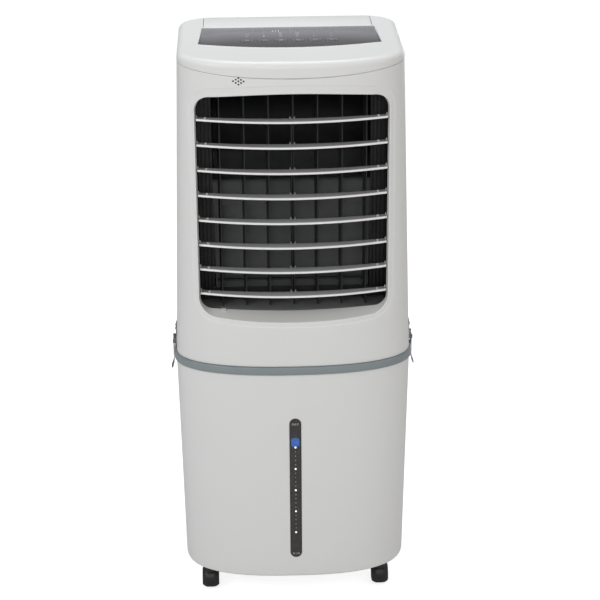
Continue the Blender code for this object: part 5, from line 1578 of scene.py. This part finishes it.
# ---------------------------------------------------------------- clips and casters
def make_clip(side, label):
    """Bracket plate with screws and ears, and a sprung catch with a flared tip."""
    place = joint_place(f"side_clip_{label}_hinge")
    axis_x, axis_z, mid_y = abs(place.x), place.z, -0.050
    wall_x = half_width(0.527) + 0.0003

    def across(a, b):
        return sorted((side * a, side * b))

    bracket = Piece(f"clip_plate_{label}")
    plate = rounded_rectangle(0.0150, 0.0210, 0.003, 6, (mid_y, 0.5480))
    bracket.prism(plate, "x", *across(wall_x, wall_x + 0.0014), STEEL, radius=0.0005)
    for y in ((mid_y - 0.0150, mid_y - 0.0125), (mid_y + 0.0125, mid_y + 0.0150)):
        bracket.box(across(wall_x + 0.001, axis_x + 0.0032), y, (axis_z - 0.0045, axis_z + 0.0045), DARK_STEEL, radius=0.0012, steps=3)
    for y in (mid_y - 0.0085, mid_y + 0.0085):
        bracket.screw((y, 0.5625, side * (wall_x + 0.0013)), "x", side, radius=0.0030)
    bracket.done(replaces=[f"clip_bracket_{label}"])
    pin = Piece(f"clip_rod_{label}")
    profile = [(0, mid_y - 0.0158), (0.0020, mid_y - 0.0158), (0.0020, mid_y - 0.0151), (0.0013, mid_y - 0.0151), (0.0013, mid_y + 0.0151)]
    profile += [(0.0020, mid_y + 0.0151), (0.0020, mid_y + 0.0158), (0, mid_y + 0.0158)]
    pin.lathe(profile, "y", (side * axis_x, axis_z), DARK_STEEL, 28)
    pin.done(replaces=[f"clip_pin_{label}"])

    outline = [(0.0006, 0.0), (0.0020, 0.0), (0.0020, -0.0340), (0.0022, -0.0400), (0.0028, -0.0470), (0.0038, -0.0522)]
    outline += [(0.0050, -0.0556), (0.0063, -0.0580), (0.0058, -0.0588), (0.0050, -0.0590), (0.0036, -0.0562)]
    outline += [(0.0024, -0.0530), (0.0014, -0.0470), (0.0008, -0.0400), (0.0006, -0.0365), (0.0006, -0.0330)]
    outline += [(-0.0016, -0.0327), (-0.0029, -0.0322), (-0.0032, -0.0314), (-0.0029, -0.0306), (-0.0010, -0.0300), (0.0006, -0.0294)]
    points = [(side * (axis_x + x), axis_z + z) for x, z in outline]
    clip = Piece(f"clip_spring_{label}", (side * axis_x, mid_y, axis_z))
    clip.prism(points, "y", mid_y - 0.0115, mid_y + 0.0115, STEEL, radius=0.0003)
    clip.lathe([(0.0016, mid_y - 0.0115), (0.0028, mid_y - 0.0115), (0.0028, mid_y + 0.0115), (0.0016, mid_y + 0.0115), (0.0016, mid_y - 0.0115)], "y", (side * axis_x, axis_z), DARK_STEEL, 28)
    ends = [(0.0024, -0.0420), (0.0034, -0.0490), (0.0062, -0.0572), (0.0072, -0.0585), (0.0060, -0.0600), (0.0044, -0.0580), (0.0012, -0.0480), (0.0006, -0.0420)]
    clip.prism([(side * (axis_x + x), axis_z + z) for x, z in ends], "y", mid_y - 0.0095, mid_y + 0.0095, BLACK, radius=0.0005)
    for y in (mid_y - 0.0060, mid_y, mid_y + 0.0060):
        clip.tube([(side * (axis_x + 0.0020), y, axis_z - 0.008), (side * (axis_x + 0.0022), y, axis_z - 0.034)], 0.0006, STEEL, 8)
    clip.done(f"side_clip_{label}", replaces=[f"side_clip_{label}"])


def make_caster(end, label):
    """Twin-wheel furniture caster: hooded swivel body and two ribbed wheels with a moulded tread."""
    stem = joint_place(f"caster_swivel_{end}_{label}_turn")
    axle = joint_place(f"caster_wheels_{end}_{label}_roll")
    wheel_r, inner_x, outer_x = 0.020, 0.006, 0.017
    centre = (axle.y, axle.z)
    hood = Piece(f"caster_shell_{end}_{label}", (stem.x, stem.y, axle.z))
    outer, inner, start, stop = 0.0240, 0.0213, -4, 214

    def crowned(radius, x):
        return radius - 0.0062 * max(0.0, (abs(x) - 0.005) / (outer_x - 0.005)) ** 2.2

    rows = []
    for x in np.linspace(-outer_x, outer_x, 25):
        outline = arc(centre, crowned(outer, x), start, stop, 40) + arc(centre, crowned(inner, x), stop, start, 40)
        rows.append([(stem.x + x, y, z) for y, z in outline])
    hood.grid(rows, CASTER_BLACK, wrap=True, caps=(True, True))
    front = axle.y - outer
    button = [(0, front - 0.0005), (0.0026, front - 0.0005), (0.0030, front), (0.0030, front + 0.0012), (0, front + 0.0012)]
    hood.lathe(button, "y", (stem.x, axle.z - 0.001), BLACK, 24)
    web = arc(centre, outer - 0.001, 10, 200, 36) + arc(centre, 0.0070, 200, 370, 24)
    hood.prism(web, "x", stem.x - 0.0045, stem.x + 0.0045, CASTER_BLACK, radius=0.0006)
    top = TANK_BOTTOM_Z - 0.0003
    profile = [(0.0030, wheel_r + 0.0215), (0.0105, wheel_r + 0.0215), (0.0102, wheel_r + 0.0260), (0.0086, top - 0.010), (0.0080, top - 0.004), (0.0095, top - 0.003), (0.0095, top), (0.0030, top)]
    hood.lathe(profile, "z", (stem.x, stem.y), CASTER_BLACK, 36)
    hood.lathe([(0.0040, top - 0.001), (0.0040, top + 0.020), (0.0030, top + 0.022), (0, top + 0.022)], "z", (stem.x, stem.y), DARK_STEEL, 28)
    hood.done(f"caster_swivel_{end}_{label}", replaces=[f"caster_hood_{end}_{label}"])
    wheels = Piece(f"caster_rollers_{end}_{label}", axle)
    for side in (-1, 1):
        def at(distance):
            return axle.x + side * distance
        tyre = [(0.0125, at(inner_x)), (wheel_r - 0.0010, at(inner_x)), (wheel_r, at(inner_x + 0.0010))]
        tyre += [(crowned(wheel_r, x), at(x)) for x in np.linspace(inner_x + 0.0020, outer_x - 0.0006, 9)]
        tyre += [(0.0128, at(outer_x - 0.0004)), (0.0120, at(outer_x - 0.0012))]
        wheels.lathe(tyre, "x", centre, TREAD, 64)
        disc = [(0, at(inner_x + 0.0004)), (0.0126, at(inner_x + 0.0004)), (0.0128, at(outer_x - 0.0009)), (0.0120, at(outer_x - 0.0030)), (0.0070, at(outer_x - 0.0036)), (0.0062, at(outer_x - 0.0010)), (0.0050, at(outer_x - 0.0004)), (0, at(outer_x - 0.0004))]
        wheels.lathe(disc, "x", centre, CASTER_BLACK, 64)
        for k in range(5):
            turn = Matrix.Rotation(2 * math.pi * k / 5, 4, "X")
            spoke = turn @ Vector((0.0, 0.0092, 0.0))
            y, z = axle.y + spoke.y, axle.z + spoke.z
            xs = sorted((at(outer_x - 0.0040), at(outer_x - 0.0014)))
            wheels.box(xs, (y - 0.0034, y + 0.0034), (z - 0.0010, z + 0.0010), CASTER_BLACK, radius=0.0004, turn=turn)
    wheels.lathe([(0, axle.x - 0.007), (0.0031, axle.x - 0.007), (0.0031, axle.x + 0.007), (0, axle.x + 0.007)], "x", centre, DARK_STEEL, 24)
    wheels.done(f"caster_wheels_{end}_{label}", replaces=[f"caster_wheels_{end}_{label}"])


# ---------------------------------------------------------------- pieces kept from the frame
KEPT = {
    "control_board": (BOARD, 0.0002),
    "fill_hopper": (WHITE_INNER, 0.0006),
    "outlet_frame": (BLACK, 0.0006),
    "vane_link_bar": (BLACK, 0.0004),
    "swing_motor": (DARK_STEEL, 0.0005),
    "blower_motor": (DARK_STEEL, 0.0010),
    "water_distributor": (WHITE_INNER, 0.0005),
}


def dress_kept_nodes():
    for name, (material, width) in KEPT.items():
        node = frame["nodes"][name]
        node.data.materials.clear()
        node.data.materials.append(material)
        soften(node, width)


def make_inner_details():
    """Screws and a ring on the blower motor's face, with an end cap."""
    piece = Piece("motor_details")
    face = 0.160
    centre = (BLOWER_AXIS.y, BLOWER_AXIS.z)
    piece.lathe([(0.0385, face - 0.012), (0.0385, face - 0.008), (0.0380, face - 0.007)], "x", centre, STEEL, 60)
    piece.lathe([(0, face + 0.0025), (0.0085, face + 0.0025), (0.0105, face + 0.0010), (0.0110, face - 0.001)], "x", centre, STEEL, 48)
    for angle in (45, 135, 225, 315):
        a = math.radians(angle)
        piece.screw((centre[0] + 0.028 * math.cos(a), centre[1] + 0.028 * math.sin(a), face - 0.0002), "x", 1, radius=0.0028)
    piece.done()


# ---------------------------------------------------------------- build
make_front_panel()
make_tank()
make_band()
make_rear_housing()
make_top_cover()
make_control_panel()
make_keys()
make_lid()
for number in range(1, LOUVRE_COUNT + 1):
    make_louvre(number)
make_louvre_link()
for number in range(1, VANE_COUNT + 1):
    make_vane(number)
make_outlet_details()
make_blower_housing()
make_blower_wheel()
make_pad()
make_grille()
make_pump()
make_hose_and_cord()
make_drain()
make_window()
make_float()
for clip_side, clip_label in ((-1, "left"), (1, "right")):
    make_clip(clip_side, clip_label)
for caster_end in ("front", "rear"):
    for caster_label in ("left", "right"):
        make_caster(caster_end, caster_label)
dress_kept_nodes()
make_inner_details()


# ---------------------------------------------------------------- studio: floor, light, camera
def make_floor():
    floor = Piece("studio_floor")
    floor.grid([[(-6, -6, 0), (6, -6, 0)], [(-6, 6, 0), (6, 6, 0)]], studio_white("floor_white"), outward=False)
    mesh = bpy.data.meshes.new("studio_floor")
    floor.bm.to_mesh(mesh)
    floor.bm.free()
    mesh.materials.append(floor.materials[0])
    obj = bpy.data.objects.new("studio_floor", mesh)
    bpy.context.scene.collection.objects.link(obj)


def studio_white(name):
    made = Finish(name, (0.60, 0.60, 0.60), 0.9)
    made.tint(made.spread(made.noise(2.0, 2.0), 0.4, 0.6, 0.0, 0.2), (0.58, 0.58, 0.58))
    made.shader.inputs["Emission Color"].default_value = (1, 1, 1, 1)
    path = made.add("ShaderNodeLightPath")
    made.link(made.spread(path.outputs["Is Camera Ray"], 0, 1, 0.10, 0.75), made.shader.inputs["Emission Strength"])
    side = made.add("ShaderNodeNewGeometry")
    made.link(made.spread(side.outputs["Backfacing"], 0, 1, 1, 0), made.shader.inputs["Alpha"])
    return made.material


def make_world():
    world = bpy.data.worlds.new("studio")
    world.use_nodes = True
    tree = world.node_tree
    background = tree.nodes["Background"]
    background.inputs["Color"].default_value = (1.0, 1.0, 1.0, 1.0)
    background.inputs["Strength"].default_value = 0.40
    seen = tree.nodes.new("ShaderNodeBackground")
    seen.inputs["Color"].default_value = (1.0, 1.0, 1.0, 1.0)
    seen.inputs["Strength"].default_value = 1.05
    path = tree.nodes.new("ShaderNodeLightPath")
    mix = tree.nodes.new("ShaderNodeMixShader")
    tree.links.new(path.outputs["Is Camera Ray"], mix.inputs[0])
    tree.links.new(background.outputs[0], mix.inputs[1])
    tree.links.new(seen.outputs[0], mix.inputs[2])
    tree.links.new(mix.outputs[0], tree.nodes["World Output"].inputs["Surface"])
    bpy.context.scene.world = world


def make_light(name, place, target, size, power, colour=(1, 1, 1)):
    data = bpy.data.lights.new(name, "AREA")
    data.shape = "RECTANGLE"
    data.size, data.size_y = size
    data.energy = power
    data.color = colour
    obj = bpy.data.objects.new(name, data)
    obj.location = place
    obj.rotation_euler = (Vector(target) - Vector(place)).to_track_quat("-Z", "Y").to_euler()
    obj.visible_camera = False
    bpy.context.scene.collection.objects.link(obj)


def make_camera():
    place = Vector((-0.1018, -3.4365, 2.0168)) + SHIFT
    forward = Vector((0.03184, 0.92328, -0.38282)).normalized()
    right = forward.cross(Vector((0, 0, 1))).normalized()
    up = right.cross(forward)
    roll = 0.00682
    tilted_up = up * math.cos(roll) + right * math.sin(roll)
    tilted_right = forward.cross(tilted_up)
    data = bpy.data.cameras.new("camera")
    data.lens, data.sensor_width = 112.57, 36.0
    data.clip_start = 0.1
    obj = bpy.data.objects.new("camera", data)
    turn = Matrix((tilted_right, tilted_up, -forward)).transposed().to_4x4()
    obj.matrix_world = Matrix.Translation(place) @ turn
    bpy.context.scene.collection.objects.link(obj)
    bpy.context.scene.camera = obj


make_floor()
make_world()
make_light("key_left", (-2.3, -2.2, 2.7), (0.0, 0.0, 0.85), (1.6, 1.6), 42, (0.97, 0.985, 1.0))
make_light("fill_right", (2.6, -1.8, 2.0), (0.0, 0.0, 0.85), (1.2, 1.6), 12, (1.0, 0.95, 0.90))
make_light("front_high", (0.1, -3.4, 2.2), (0.0, 0.0, 0.7), (2.0, 1.2), 30)
make_light("overhead", (0.0, 0.5, 2.6), (0.0, 0.05, 1.1), (1.0, 1.0), 16, (0.93, 0.97, 1.0))
make_light("behind", (1.6, 2.4, 0.9), (0.0, 0.1, 0.6), (1.2, 1.2), 7)
make_camera()
bpy.context.scene.view_settings.view_transform = "Standard"
